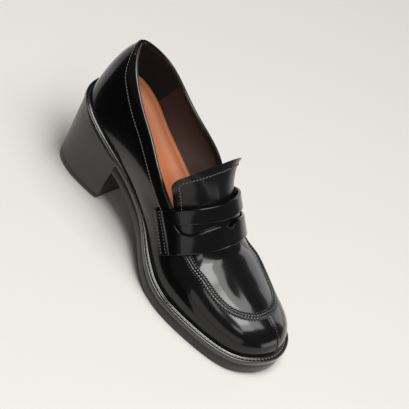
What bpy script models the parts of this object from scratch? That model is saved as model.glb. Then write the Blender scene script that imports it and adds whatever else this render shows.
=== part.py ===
"""Penny loafer pump, right shoe: a welted loafer on a block heel, built piece by piece.

Units are metres and +Z is up. The toe points to -Y and the wearer's outer side is -X.
Inside the functions a place is written in shoe terms: s is the distance from the back of the
heel towards the toe, x is the side (plus = the wearer's inner side) and z is the height.
Every piece is cut from one last, a surface of ribs that lean like the shoe's own sections.
"""

from collections import namedtuple
from math import pi, radians

import bmesh
import bpy
import numpy as np

# Driving dimensions
SOLE_LENGTH = 0.250
BALL_WIDTH = 0.0855
HEEL_RISE = 0.0593
TOE_SPRING = 0.005
INSTEP_HEIGHT = 0.065
COLLAR_HEIGHT = 0.056

# Bottom unit
OUTSOLE_THICKNESS = 0.0086
OUTSOLE_INSET = 0.0004
MIDSOLE_THICKNESS = 0.0038
WELT_BEVEL = 0.0012
FOREFOOT_WELT = 0.0050
WAIST_WELT = 0.0016
HEEL_RAND = 0.0034
HEEL_INSET = 0.0008
HEEL_TOP_LENGTH = 0.0612
HEEL_TIP_FRONT = 0.0585
HEEL_TIP_BACK = 0.0030
HEEL_TIP_WIDTH = 0.0500
HEEL_TIP_BEVEL = 0.0008

# Upper, tongue and insole
WALL = 0.0020
TONGUE_THICKNESS = 0.0018
TONGUE_HEIGHT = 0.0300
TONGUE_HALF_WIDTH = 0.0430
TONGUE_CORNER = 0.0130
TONGUE_UNDER_VAMP = 0.0100
TONGUE_SPREAD = 0.34
TONGUE_UPRIGHT_LATERAL = 0.40
TONGUE_UPRIGHT_MEDIAL = 0.75
INSOLE_THICKNESS = 0.0035

# Strap with its slot
STRAP_BACK = 0.1407
STRAP_WIDTH = 0.0340
STRAP_HALF_LENGTH = 0.0600
STRAP_THICKNESS = 0.0020
STRAP_LIFT = 0.0008
STRAP_OVER_THROAT = 0.0080
SLOT_HALF_LENGTH = 0.0420

# Raised seam round the apron, and the band stitched below the collar
APRON_WIDTH = 0.0640
APRON_TIP = 0.2206
APRON_SQUARENESS = 2.3
SEAM_WIDTH = 0.0044
SEAM_HEIGHT = 0.0014
BAND_WIDTH = 0.0110
BAND_THICKNESS = 0.0010
BAND_TAPER = 0.0300
BAND_BACK_SHARE = 0.35

# The gap that touching pieces keep
FIT_GAP = 0.0003

# Step of the finite differences on the last, and the distance that welds doubled points
PROBE = 0.002
WELD = 0.00001

# Sections of the last, from the toe to the back of the heel. The feather is the line where the
# upper meets the welt and the ridge is the top line of the last. Each row has a lateral and a
# medial side: s and ridge_s are shares of SOLE_LENGTH; half (the feather's distance from the
# middle), flare (how far the lower handle stands out from it) and reach (how far the upper
# handle stands out from the ridge) are shares of BALL_WIDTH.
# rise: height of the ridge over the bed, as a share of INSTEP_HEIGHT.
# along, up: how far the lower handle goes towards the ridge, lengthways and in height.
# spread: how far the upper handle goes back to the feather lengthways.
# fall: slope of the ridge where ribs fan out.
Side = namedtuple("Side", "s half flare reach")
Rib = namedtuple("Rib", "name lateral medial ridge_s rise along up spread fall")
RIBS = (
    Rib("toe tip", Side(0.974, -0.018, 0.000, 0.009), Side(0.974, 0.018, 0.000, 0.009),
        0.816, 0.482, -0.07, 0.67, 0.53, 0.13),
    Rib("toe shoulder", Side(0.957, 0.170, 0.020, 0.100), Side(0.958, 0.199, 0.020, 0.110),
        0.813, 0.483, -0.05, 0.65, 0.52, 0.14),
    Rib("toe corner", Side(0.918, 0.316, 0.032, 0.183), Side(0.923, 0.328, 0.032, 0.187),
        0.806, 0.489, 0.00, 0.62, 0.50, 0.16),
    Rib("toe side", Side(0.852, 0.409, 0.036, 0.248), Side(0.860, 0.419, 0.036, 0.252),
        0.788, 0.502, 0.10, 0.60, 0.40, 0.20),
    Rib("joint", Side(0.760, 0.477, 0.036, 0.310), Side(0.768, 0.480, 0.036, 0.310),
        0.754, 0.546, 0.30, 0.60, 0.00, 0.00),
    Rib("ball", Side(0.660, 0.510, 0.036, 0.345), Side(0.660, 0.489, 0.045, 0.345),
        0.712, 0.602, 0.30, 0.66, 0.00, 0.00),
    Rib("strap front", Side(0.516, 0.427, 0.082, 0.345), Side(0.516, 0.374, 0.135, 0.360),
        0.661, 0.705, 0.45, 0.52, 0.00, 0.00),
    Rib("strap middle", Side(0.448, 0.351, 0.140, 0.328), Side(0.448, 0.310, 0.190, 0.380),
        0.612, 0.870, 0.42, 0.50, 0.00, 0.00),
    Rib("strap back", Side(0.380, 0.304, 0.200, 0.320), Side(0.380, 0.269, 0.235, 0.420),
        0.5628, 1.005, 0.40, 0.50, 0.00, 0.00),
    Rib("tongue top", Side(0.288, 0.292, 0.200, 0.375), Side(0.288, 0.281, 0.215, 0.445),
        0.481, 1.212, 0.35, 0.50, 0.00, 0.00),
    Rib("breast", Side(0.208, 0.327, 0.094, 0.262), Side(0.208, 0.316, 0.105, 0.290),
        0.368, 1.282, 0.35, 0.50, 0.00, 0.00),
    Rib("heel side", Side(0.120, 0.362, 0.030, 0.167), Side(0.120, 0.350, 0.030, 0.170),
        0.272, 1.350, 0.30, 0.50, 0.10, 0.00),
    Rib("heel corner", Side(0.038, 0.285, 0.025, 0.118), Side(0.038, 0.277, 0.025, 0.118),
        0.200, 1.330, 0.13, 0.48, 0.35, -0.10),
    Rib("heel back", Side(0.004, 0.000, 0.000, 0.000), Side(0.004, 0.000, 0.000, 0.000),
        0.160, 1.282, -0.14, 0.40, 0.84, -0.10),
)

# Side view of the sole's underside: share of SOLE_LENGTH, share of HEEL_RISE
SOLE_PROFILE = (
    (-0.040, 1.000), (0.000, 0.996), (0.120, 0.862), (0.248, 0.629),
    (0.400, 0.372), (0.540, 0.110), (0.600, 0.028), (0.660, 0.000), (1.020, 0.000),
)

# Toe spring: share of SOLE_LENGTH, share of TOE_SPRING
SPRING_PROFILE = ((0.000, 0.000), (0.820, 0.000), (0.920, 0.350), (1.000, 1.000), (1.040, 1.400))

# Welt seen from above: share of SOLE_LENGTH, then how much of each ledge shows there
WELT_PROFILE = (
    (-0.040, "heel"), (0.215, "heel"), (0.270, "waist"), (0.380, "waist"),
    (0.560, "forefoot"), (1.040, "forefoot"),
)
LEDGES = {"heel": HEEL_RAND, "waist": WAIST_WELT, "forefoot": FOREFOOT_WELT}

# Top line of the collar: share of SOLE_LENGTH, height over the bed as a share of COLLAR_HEIGHT
COLLAR_PROFILE = (
    (-0.020, 1.020), (0.043, 1.000), (0.104, 0.960), (0.208, 0.900), (0.308, 0.855),
    (0.400, 0.800), (0.478, 0.735), (0.540, 0.715), (0.620, 0.710),
)

# Slot in the strap: share of SLOT_HALF_LENGTH, then the upper and the lower edge as shares of
# STRAP_WIDTH from the strap's back edge. The lower edge has a notch and two hanging lobes.
SLOT_PROFILE = (
    (0.00, 0.375, 0.610), (0.10, 0.373, 0.530), (0.24, 0.370, 0.478), (0.50, 0.358, 0.520),
    (0.76, 0.345, 0.572), (0.90, 0.338, 0.530), (0.97, 0.333, 0.430), (1.00, 0.330, 0.335),
)

# Mesh steps
FORE_STEPS = 20
REAR_STEPS = 15
WALL_ROWS = 9
TOP_ROWS = 7
SEARCH_STEPS = 34

# Colours, roughness and metallic values read from the photo
POLISHED_BLACK = ((0.010, 0.010, 0.011), 0.16, 0.0)
EDGE_BLACK = ((0.016, 0.016, 0.016), 0.36, 0.0)
HEEL_GREY = ((0.040, 0.038, 0.034), 0.46, 0.0)
TAN_LEATHER = ((0.520, 0.190, 0.082), 0.42, 0.0)


def monotone(rows):
    """Return a smooth curve through (x, y) rows that never overshoots them."""
    x, y = (np.array(column, dtype=float) for column in zip(*rows))
    step, rise = np.diff(x), np.diff(y)
    slope = rise / step
    tangent = np.zeros_like(x)
    before, after = 2 * step[1:] + step[:-1], step[1:] + 2 * step[:-1]
    same_way = slope[:-1] * slope[1:] > 0
    safe = np.where(same_way, slope[:-1] * slope[1:], 1.0)
    blend = (before + after) * safe / (before * slope[1:] + after * slope[:-1] + (~same_way))
    tangent[1:-1] = np.where(same_way, blend, 0.0)
    tangent[0], tangent[-1] = slope[0], slope[-1]

    def curve(at):
        at = np.clip(np.asarray(at, dtype=float), x[0], x[-1])
        i = np.clip(np.searchsorted(x, at, side="right") - 1, 0, len(step) - 1)
        t = (at - x[i]) / step[i]
        return (
            y[i] * (1 + 2 * t) * (1 - t) ** 2
            + tangent[i] * step[i] * t * (1 - t) ** 2
            + y[i + 1] * t * t * (3 - 2 * t)
            + tangent[i + 1] * step[i] * t * t * (t - 1)
        )

    return curve


def closed_spline(knots, period, values):
    """Return a cubic spline through values that repeats after one period."""
    knots, values = np.array(knots), np.array(values)
    count = len(knots)
    step = np.diff(np.append(knots, knots[0] + period))
    matrix, right = np.zeros((count, count)), np.zeros_like(values)
    for i in range(count):
        before, after = (i - 1) % count, (i + 1) % count
        matrix[i, before] += step[before]
        matrix[i, i] += 2 * (step[before] + step[i])
        matrix[i, after] += step[i]
        right[i] = 6 * (
            (values[after] - values[i]) / step[i] - (values[i] - values[before]) / step[before]
        )
    bend = np.linalg.solve(matrix, right)

    def curve(at):
        at = np.mod(np.asarray(at, dtype=float) - knots[0], period) + knots[0]
        i = np.clip(np.searchsorted(knots, at, side="right") - 1, 0, count - 1)
        j = (i + 1) % count
        width = step[i][..., None]
        t = (at - knots[i])[..., None]
        rest = width - t
        return (
            (bend[i] * rest**3 + bend[j] * t**3) / (6 * width)
            + (values[i] / width - bend[i] * width / 6) * rest
            + (values[j] / width - bend[j] * width / 6) * t
        )

    return curve


sole_share = monotone(SOLE_PROFILE)
spring_share = monotone(SPRING_PROFILE)
collar_share = monotone(COLLAR_PROFILE)
ledge_width = monotone([(share, LEDGES[name]) for share, name in WELT_PROFILE])


def underside(s):
    """Height of the sole's underside at s, heel rise and toe spring included."""
    share = np.asarray(s) / SOLE_LENGTH
    return HEEL_RISE * sole_share(share) + TOE_SPRING * spring_share(share)


def bed(s):
    """Height of the welt's top face at s, which the upper and the insole stand on."""
    return underside(s) + OUTSOLE_THICKNESS + FIT_GAP + MIDSOLE_THICKNESS


class Last:
    """The surface that every piece of the upper is cut from.

    A place on it is (u, v): u runs from 0 at the toe tip along the outer side to 1 at the back
    of the heel and on along the inner side to 2, and v runs from 0 at the feather to 1 at the
    ridge.
    """

    def __init__(self):
        half = [(rib.lateral.s * SOLE_LENGTH, rib.lateral.half * BALL_WIDTH) for rib in RIBS]
        chords = np.hypot(*np.diff(np.array(half), axis=0).T)
        stations = np.concatenate([[0.0], np.cumsum(chords) / chords.sum()])
        self.station = dict(zip([rib.name for rib in RIBS], stations))
        knots, rows = [], []
        for place, rib in zip(stations, RIBS):
            knots.append(place)
            rows.append(self._row(rib, rib.lateral, -1.0))
        for place, rib in reversed(list(zip(stations, RIBS))[1:-1]):
            knots.append(2.0 - place)
            rows.append(self._row(rib, rib.medial, 1.0))
        self._spline = closed_spline(knots, 2.0, rows)
        fine = np.linspace(0.0, 1.0, 400)
        ridge = self.point(fine, np.ones_like(fine))
        run = np.hypot(*np.diff(ridge[:, 1:], axis=0).T)
        self._fine, self._run = fine, np.concatenate([[0.0], np.cumsum(run)])
        self._ridge_s = ridge[:, 1]

    @staticmethod
    def _row(rib, side, outward):
        """Feather, two handles and ridge of one side of a rib, as twelve lengths."""
        start = np.array([outward * side.half * BALL_WIDTH, side.s * SOLE_LENGTH, 0.0])
        start[2] = bed(start[1]) + FIT_GAP
        end = np.array([0.0, rib.ridge_s * SOLE_LENGTH, 0.0])
        end[2] = bed(end[1]) + rib.rise * INSTEP_HEIGHT
        lower = start + (end - start) * np.array([0.0, rib.along, rib.up])
        lower[0] += outward * side.flare * BALL_WIDTH
        upper = end + (start - end) * np.array([0.0, rib.spread, 0.0])
        upper[0] += np.sign(start[0]) * side.reach * BALL_WIDTH
        upper[2] -= rib.fall * (upper[1] - end[1])
        return np.concatenate([start, lower, upper, end])

    def point(self, u, v):
        """Places on the last as an array of x, s, z."""
        u, v = np.broadcast_arrays(np.asarray(u, dtype=float), np.asarray(v, dtype=float))
        rib = self._spline(u)
        lift = bed(rib[..., 1]) + FIT_GAP - rib[..., 2]
        rib[..., 2] += lift
        rib[..., 5] += lift
        t, r = v[..., None], 1.0 - v[..., None]
        return (
            rib[..., 0:3] * r**3
            + rib[..., 3:6] * 3 * t * r**2
            + rib[..., 6:9] * 3 * t**2 * r
            + rib[..., 9:12] * t**3
        )

    def normal(self, u, v):
        """Unit normals that point out of the shoe."""
        u, v = np.broadcast_arrays(np.asarray(u, dtype=float), np.asarray(v, dtype=float))
        inner = np.clip(v, PROBE, 1.0 - 8 * PROBE)
        across = self.point(u + PROBE, inner) - self.point(u - PROBE, inner)
        upward = self.point(u, inner + PROBE) - self.point(u, inner - PROBE)
        out = np.cross(across, upward)
        return out / np.linalg.norm(out, axis=-1, keepdims=True)

    def skin(self, u, v, height):
        """Places at a height over the last."""
        return self.point(u, v) + self.normal(u, v) * np.asarray(height)[..., None]

    def station_at(self, ridge_s, forward=0.0):
        """Station of the rib whose ridge lies at ridge_s, or a distance forward of it."""
        run = np.interp(-ridge_s, -self._ridge_s, self._run) - forward
        return float(np.interp(run, self._run, self._fine))

    def place(self, station, across):
        """The (u, v) of places at a distance across the ridge on the ribs of a station."""
        station, across = np.broadcast_arrays(station, across)
        u = np.where(across > 0, 2.0 - station, station)
        v = np.empty_like(u)
        samples = np.linspace(1.0, 0.0, 60)
        for i, rib in np.ndenumerate(u):
            line = self.point(np.full_like(samples, rib), samples)
            run = np.concatenate(
                [[0.0], np.cumsum(np.linalg.norm(np.diff(line, axis=0), axis=1))]
            )
            v[i] = np.interp(abs(across[i]), run, samples)
        return u, v

    def cut(self, u, inside):
        """The v on each rib of u where inside(point), true at the feather, turns false."""
        u = np.asarray(u, dtype=float)
        low, high = np.zeros_like(u), np.ones_like(u)
        for _ in range(SEARCH_STEPS):
            middle = (low + high) / 2
            keep = inside(self.point(u, middle))
            low, high = np.where(keep, middle, low), np.where(keep, high, middle)
        return low


LAST = Last()
STRAP_BACK_STATION = LAST.station_at(STRAP_BACK)
STRAP_FRONT_STATION = LAST.station_at(STRAP_BACK, STRAP_WIDTH)
THROAT_STATION = LAST.station_at(STRAP_BACK, STRAP_OVER_THROAT)


def below_collar(points):
    """True for places below the collar's top line."""
    return points[..., 2] < bed(points[..., 1]) + COLLAR_HEIGHT * collar_share(
        points[..., 1] / SOLE_LENGTH
    )


def outside_apron(points):
    """True for places between the feather and the seam round the apron."""
    start = LAST.point(STRAP_FRONT_STATION, 1.0)[1]
    forward = np.clip((points[..., 1] - start) / (APRON_TIP - start), 0.0, 1.0)
    half = APRON_WIDTH / 2 * (1.0 - forward**APRON_SQUARENESS) ** (1.0 / APRON_SQUARENESS)
    return np.abs(points[..., 0]) > half


def world(points):
    """Shoe places (x, s, z) as Blender places, with the toe to -Y."""
    points = np.asarray(points)
    return np.stack(
        [points[..., 0], SOLE_LENGTH / 2 - points[..., 1], points[..., 2]], axis=-1
    )


def add_object(name, mesh, finish, collection):
    """Link a mesh as a named object with its own material."""
    thing = bpy.data.objects.new(name, mesh)
    collection.objects.link(thing)
    colour, roughness, metallic = finish
    material = bpy.data.materials.new(name)
    material.use_nodes = True
    shader = material.node_tree.nodes["Principled BSDF"]
    shader.inputs["Base Color"].default_value = (*colour, 1.0)
    shader.inputs["Roughness"].default_value = roughness
    shader.inputs["Metallic"].default_value = metallic
    mesh.materials.append(material)
    return thing


def add_grid(mesh, points):
    """Add a grid of places to a bmesh as quads, and return its vertices in rows."""
    rows = [[mesh.verts.new(place) for place in row] for row in world(points)]
    for lower, upper in zip(rows, rows[1:]):
        for i in range(len(lower) - 1):
            mesh.faces.new((lower[i], lower[i + 1], upper[i + 1], upper[i]))
    return rows


def rim(rows):
    """The vertices round the edge of a grid, in order."""
    first, last = rows[0], rows[-1]
    right = [row[-1] for row in rows[1:-1]]
    left = [row[0] for row in rows[1:-1]]
    return first + right + last[::-1] + left[::-1]


def finish_mesh(name, shape, smooth_angle=radians(40)):
    """Weld a bmesh's doubles, turn its faces out and return it as a shaded mesh."""
    bmesh.ops.remove_doubles(shape, verts=shape.verts, dist=WELD)
    bmesh.ops.dissolve_degenerate(shape, edges=shape.edges, dist=WELD / 2)
    bmesh.ops.recalc_face_normals(shape, faces=shape.faces)
    mesh = bpy.data.meshes.new(name)
    shape.to_mesh(mesh)
    shape.free()
    mesh.shade_smooth()
    mesh.set_sharp_from_angle(angle=smooth_angle)
    return mesh


def stacked_solid(name, layers, finish, collection):
    """A closed solid from a bottom grid, any rings between, and a top grid."""
    shape = bmesh.new()
    bottom = rim(add_grid(shape, layers[0]))
    for layer in layers[1:-1]:
        ring = [shape.verts.new(place) for place in world(edge_of(layer))]
        bridge(shape, bottom, ring)
        bottom = ring
    bridge(shape, bottom, rim(add_grid(shape, layers[-1])))
    return add_object(name, finish_mesh(name, shape), finish, collection)


def edge_of(grid):
    """The places round the edge of a grid, in the same order as rim."""
    first, last = grid[0], grid[-1]
    return np.concatenate([first, grid[1:-1, -1], last[::-1], grid[1:-1, 0][::-1]])


def bridge(shape, lower, upper):
    """Join two rings of the same count with quads."""
    for i in range(len(lower)):
        j = (i + 1) % len(lower)
        if lower[i] is not lower[j]:
            shape.faces.new((lower[i], lower[j], upper[j], upper[i]))


def outline(u, offset):
    """Plan places (x, s) at an offset outwards from the feather line."""
    u = np.asarray(u)
    feather = LAST.point(u, 0.0)[..., :2]
    along = (LAST.point(u + PROBE, 0.0) - LAST.point(u - PROBE, 0.0))[..., :2]
    along = along / np.linalg.norm(along, axis=-1, keepdims=True)
    outward = np.stack([along[..., 1], -along[..., 0]], axis=-1)
    return feather + outward * np.asarray(offset)[..., None]


def welt_edge(u, inset=0.0):
    """Plan places along the welt's edge, or at an inset inside it."""
    feather_s = LAST.point(u, 0.0)[..., 1]
    return outline(u, ledge_width(feather_s / SOLE_LENGTH) - inset)


def edge_station(s, inner_side, inset):
    """The u on one side where the welt's edge, less an inset, lies at s."""
    fine = np.linspace(0.0, 1.0, 800)
    u = 2.0 - fine if inner_side else fine
    return float(np.interp(-s, -welt_edge(u, inset)[:, 1], u))


def plan_grid(outer, inner, columns=7):
    """A grid of plan places between two edges, from the outer side to the inner side."""
    share = np.linspace(0.0, 1.0, columns)[None, :, None]
    return outer[:, None, :] * (1 - share) + inner[:, None, :] * share


def raised(plan, height):
    """Add heights, worked out from s, to plan places."""
    return np.concatenate([plan, height(plan[..., 1])[..., None]], axis=-1)


def level_steps(start, end, count):
    """Stations between start and end that come closer together at both ends."""
    share = (1 - np.cos(np.linspace(0.0, pi, count))) / 2
    even = np.linspace(0.0, 1.0, count)
    return start + (end - start) * (0.6 * share + 0.4 * even)


def build_midsole(collection):
    """The plate under the upper, whose edge shows as the welt and the heel rand."""
    stations = level_steps(0.0, 1.0, 45)
    layers = []
    for inset, drop in ((0.0, MIDSOLE_THICKNESS), (0.0, WELT_BEVEL), (WELT_BEVEL, 0.0)):
        plan = plan_grid(welt_edge(stations, inset), welt_edge(2.0 - stations, inset))
        layers.append(raised(plan, lambda s, drop=drop: bed(s) - drop))
    return stacked_solid("welt_midsole", layers, EDGE_BLACK, collection)


def build_outsole(collection):
    """The outsole, from the toe to the front face of the heel."""
    back = HEEL_TOP_LENGTH + FIT_GAP
    outer = level_steps(0.0, edge_station(back, False, OUTSOLE_INSET), 41)
    inner = level_steps(2.0, edge_station(back, True, OUTSOLE_INSET), 41)
    plan = plan_grid(welt_edge(outer, OUTSOLE_INSET), welt_edge(inner, OUTSOLE_INSET))
    layers = [
        raised(plan, underside),
        raised(plan, lambda s: underside(s) + OUTSOLE_THICKNESS),
    ]
    return stacked_solid("outsole", layers, EDGE_BLACK, collection)


def build_heel(collection):
    """The block heel: curved to the seat on top, D-shaped and flat at the floor."""
    outer = level_steps(edge_station(HEEL_TOP_LENGTH, False, HEEL_INSET), 1.0, 21)
    inner = level_steps(edge_station(HEEL_TOP_LENGTH, True, HEEL_INSET), 1.0, 21)
    top = plan_grid(welt_edge(outer, HEEL_INSET), welt_edge(inner, HEEL_INSET))
    top_back = top[..., 1].min()
    top_width = np.ptp(top[..., 0])
    narrow = HEEL_TIP_WIDTH / top_width
    shift = (HEEL_TIP_FRONT - HEEL_TIP_BACK) / (HEEL_TOP_LENGTH - top_back)
    tip = top.copy()
    tip[..., 0] *= narrow
    tip[..., 1] = HEEL_TIP_BACK + (top[..., 1] - top_back) * shift
    centre = np.array([0.0, (HEEL_TIP_FRONT + HEEL_TIP_BACK) / 2])
    ground = centre + (tip - centre) * (1 - 2 * HEEL_TIP_BEVEL / HEEL_TIP_WIDTH)
    layers = [
        raised(ground, np.zeros_like),
        raised(tip, lambda s: np.full_like(s, HEEL_TIP_BEVEL)),
        raised(top, lambda s: underside(s) + OUTSOLE_THICKNESS),
    ]
    return stacked_solid("heel_block", layers, HEEL_GREY, collection)


def build_insole(collection):
    """The insole board with its sock, inside the upper's wall."""
    stations = level_steps(0.0, 1.0, 31)
    inset = -(WALL + 4 * FIT_GAP)
    plan = plan_grid(outline(stations, inset), outline(2.0 - stations, inset))
    layers = [
        raised(plan, lambda s: bed(s) + FIT_GAP),
        raised(plan, lambda s: bed(s) + FIT_GAP + INSOLE_THICKNESS),
    ]
    return stacked_solid("insole", layers, TAN_LEATHER, collection)


def build_upper(collection):
    """The upper: closed over the forefoot, open at the throat, the collar and the bottom."""
    throat_v = float(LAST.cut(THROAT_STATION, below_collar))
    low_rows = np.linspace(0.0, 1.0, WALL_ROWS)
    fore_u = np.linspace(-THROAT_STATION, THROAT_STATION, 2 * FORE_STEPS + 1)
    fore_v = np.concatenate(
        [low_rows * throat_v, np.linspace(throat_v, 1.0, TOP_ROWS)[1:]]
    )
    rear_u = np.linspace(THROAT_STATION, 2.0 - THROAT_STATION, 2 * REAR_STEPS + 1)
    rear_top = LAST.cut(rear_u, below_collar)
    shape = bmesh.new()
    add_grid(shape, LAST.point(fore_u[None, :], fore_v[:, None]))
    add_grid(shape, LAST.point(rear_u[None, :], low_rows[:, None] * rear_top[None, :]))
    bmesh.ops.remove_doubles(shape, verts=shape.verts, dist=WELD)
    bmesh.ops.dissolve_degenerate(shape, edges=shape.edges, dist=WELD / 2)
    bmesh.ops.recalc_face_normals(shape, faces=shape.faces)
    heel = max(shape.faces, key=lambda face: face.calc_center_median().y)
    if heel.normal.y < 0:
        bmesh.ops.reverse_faces(shape, faces=shape.faces)
    mesh = bpy.data.meshes.new("upper")
    shape.to_mesh(mesh)
    shape.free()
    mesh.shade_smooth()
    upper = add_object("upper", mesh, POLISHED_BLACK, collection)
    wall = upper.modifiers.new("wall", "SOLIDIFY")
    wall.thickness = WALL
    wall.offset = -1.0
    wall.use_even_offset = True
    return upper


def build_tongue(collection):
    """The tongue: it starts under the throat's edge and stands up behind the strap."""
    length = TONGUE_HEIGHT + STRAP_OVER_THROAT + TONGUE_UNDER_VAMP
    down = np.linspace(0.0, 1.0, 12) ** 1.4 * length
    round_part = np.clip(TONGUE_CORNER - down, 0.0, TONGUE_CORNER)
    half = TONGUE_HALF_WIDTH - TONGUE_CORNER + np.sqrt(TONGUE_CORNER**2 - round_part**2)
    station = np.array([LAST.station_at(STRAP_BACK, d - TONGUE_HEIGHT) for d in down])
    across = half[:, None] * np.linspace(-1.0, 1.0, 17)[None, :]
    u, v = LAST.place(station[:, None], across)
    free = np.clip(1.0 - down / TONGUE_HEIGHT, 0.0, 1.0)[:, None] ** 2.2
    ridge_s = LAST.point(station, 1.0)[:, 1][:, None]
    upright = np.where(across > 0, TONGUE_UPRIGHT_MEDIAL, TONGUE_UPRIGHT_LATERAL)
    layers = []
    for depth in (TONGUE_THICKNESS, 0.0):
        skin = LAST.skin(u, v, np.full_like(u, -(WALL + FIT_GAP + depth)))
        skin[..., 0] *= 1.0 + TONGUE_SPREAD * free
        skin[..., 1] += free * upright * (ridge_s - skin[..., 1])
        layers.append(skin)
    return stacked_solid("tongue", layers, POLISHED_BLACK, collection)


def slot_cutter(collection):
    """The slot's outline as a flat prism: sideways in X, down the strap in Y."""
    share, top_edge, low_edge = (list(column) for column in zip(*SLOT_PROFILE))
    top_curve = monotone(list(zip(share, top_edge)))
    low_curve = monotone(list(zip(share, low_edge)))
    fine = np.concatenate([np.linspace(0.0, 0.85, 12), np.linspace(0.9, 1.0, 4)])
    side = np.concatenate([-fine[::-1], fine[1:]])
    upper = [(a * SLOT_HALF_LENGTH, top_curve(abs(a)) * STRAP_WIDTH) for a in side]
    lower = [(a * SLOT_HALF_LENGTH, low_curve(abs(a)) * STRAP_WIDTH) for a in side[::-1]]
    shape = bmesh.new()
    base = [shape.verts.new((x, float(y), -STRAP_THICKNESS)) for x, y in upper + lower]
    face = shape.faces.new(base)
    tall = bmesh.ops.extrude_face_region(shape, geom=[face])
    top = [item for item in tall["geom"] if isinstance(item, bmesh.types.BMVert)]
    bmesh.ops.translate(shape, verts=top, vec=(0.0, 0.0, 3 * STRAP_THICKNESS))
    mesh = finish_mesh("slot_cutter", shape)
    cutter = bpy.data.objects.new("slot_cutter", mesh)
    collection.objects.link(cutter)
    cutter.hide_render = True
    cutter.display_type = "WIRE"
    return cutter


def build_strap(collection, cutters):
    """The strap over the instep, cut flat with its slot and then laid on the last."""
    columns, rows = 36, 8
    shape = bmesh.new()
    grid = np.stack(
        np.meshgrid(
            np.linspace(-STRAP_HALF_LENGTH, STRAP_HALF_LENGTH, columns + 1),
            np.linspace(0.0, STRAP_WIDTH, rows + 1),
        ),
        axis=-1,
    )
    layers = []
    for height in (0.0, STRAP_THICKNESS):
        corners = [
            [shape.verts.new((float(x), float(y), height)) for x, y in row] for row in grid
        ]
        for lower, upper in zip(corners, corners[1:]):
            for i in range(columns):
                shape.faces.new((lower[i], lower[i + 1], upper[i + 1], upper[i]))
        layers.append(rim(corners))
    bridge(shape, *layers)
    strap = add_object("penny_strap", finish_mesh("penny_strap", shape), POLISHED_BLACK, collection)
    slot = strap.modifiers.new("slot", "BOOLEAN")
    slot.operation = "DIFFERENCE"
    slot.object = slot_cutter(cutters)
    slot.solver = "EXACT"
    bpy.context.view_layer.update()
    flat = strap.evaluated_get(bpy.context.evaluated_depsgraph_get())
    mesh = bpy.data.meshes.new_from_object(flat)
    strap.modifiers.clear()
    strap.data = mesh
    flat_places = np.array([vertex.co[:] for vertex in mesh.vertices])
    station = np.array([LAST.station_at(STRAP_BACK, float(y)) for y in flat_places[:, 1]])
    u, v = LAST.place(station, flat_places[:, 0])
    middle = np.cos(flat_places[:, 0] / STRAP_HALF_LENGTH * pi / 2) ** 0.5
    height = FIT_GAP + STRAP_LIFT * np.nan_to_num(middle) + flat_places[:, 2]
    for vertex, place in zip(mesh.vertices, world(LAST.skin(u, v, height))):
        vertex.co = place
    laid = bmesh.new()
    laid.from_mesh(mesh)
    bmesh.ops.triangulate(laid, faces=[face for face in laid.faces if len(face.verts) > 4])
    bmesh.ops.reverse_faces(laid, faces=laid.faces)
    laid.to_mesh(mesh)
    laid.free()
    mesh.shade_smooth()
    mesh.set_sharp_from_angle(angle=radians(40))
    return strap


def build_apron_seam(collection):
    """The raised seam round the apron, a low bead on the upper's own surface."""
    end = STRAP_FRONT_STATION - 3 * FIT_GAP / SOLE_LENGTH
    u = np.linspace(-end, end, 53)[None, :]
    v = LAST.cut(u, outside_apron)
    turn = np.linspace(0.0, pi, 5)[:, None]
    beside = v - np.cos(turn) * SEAM_WIDTH / 2 / rib_length(u, v)
    u = np.broadcast_to(u, beside.shape)
    lift = np.broadcast_to(FIT_GAP * (2 - np.sin(turn)) + SEAM_HEIGHT * np.sin(turn), beside.shape)
    layers = [
        LAST.skin(u, beside, np.full_like(beside, FIT_GAP)),
        LAST.skin(u, beside, lift),
    ]
    return stacked_solid("apron_seam", layers, POLISHED_BLACK, collection)


def build_collar_band(collection):
    """The band stitched on below the collar, from strap to strap round the heel."""
    end = STRAP_BACK_STATION + 2 * FIT_GAP / SOLE_LENGTH
    u = np.linspace(end, 2.0 - end, 49)
    top = LAST.cut(u, below_collar)
    edge = LAST.point(u, top)
    from_back = np.clip(np.hypot(edge[:, 0], edge[:, 1] - edge[:, 1].min()) / BAND_TAPER, 0.0, 1.0)
    eased = from_back**2 * (3 - 2 * from_back)
    width = BAND_WIDTH * (BAND_BACK_SHARE + (1 - BAND_BACK_SHARE) * eased)
    rows = []
    for share in np.linspace(0.0, 1.0, 4):
        v = top.copy()
        for _ in range(3):
            run = np.linalg.norm(LAST.point(u, v) - edge, axis=-1)
            v = v - (share * width - run) / np.maximum(rib_length(u, v), 0.001)
        rows.append(v)
    u_grid, v_grid = np.broadcast_to(u, (4, len(u))), np.stack(rows)
    layers = [
        LAST.skin(u_grid, v_grid, np.full_like(u_grid, FIT_GAP)),
        LAST.skin(u_grid, v_grid, np.full_like(u_grid, FIT_GAP + BAND_THICKNESS)),
    ]
    return stacked_solid("collar_band", layers, POLISHED_BLACK, collection)


def rib_length(u, v):
    """How fast a place moves along its rib as v grows."""
    run = LAST.point(u, v + PROBE) - LAST.point(u, v - PROBE)
    return np.linalg.norm(run, axis=-1) / (2 * PROBE)


def centre_in_plan(pieces):
    """Parent the pieces to an empty that puts the plan centre of the shoe on the origin."""
    bpy.context.view_layer.update()
    graph = bpy.context.evaluated_depsgraph_get()
    corners = np.array(
        [corner[:] for piece in pieces for corner in piece.evaluated_get(graph).bound_box]
    )
    middle = (corners.min(axis=0) + corners.max(axis=0)) / 2
    empty = bpy.data.objects.new("loafer_pump_root", None)
    pieces[0].users_collection[0].objects.link(empty)
    for piece in pieces:
        piece.parent = empty
    empty.location = (-middle[0], -middle[1], 0.0)


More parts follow.
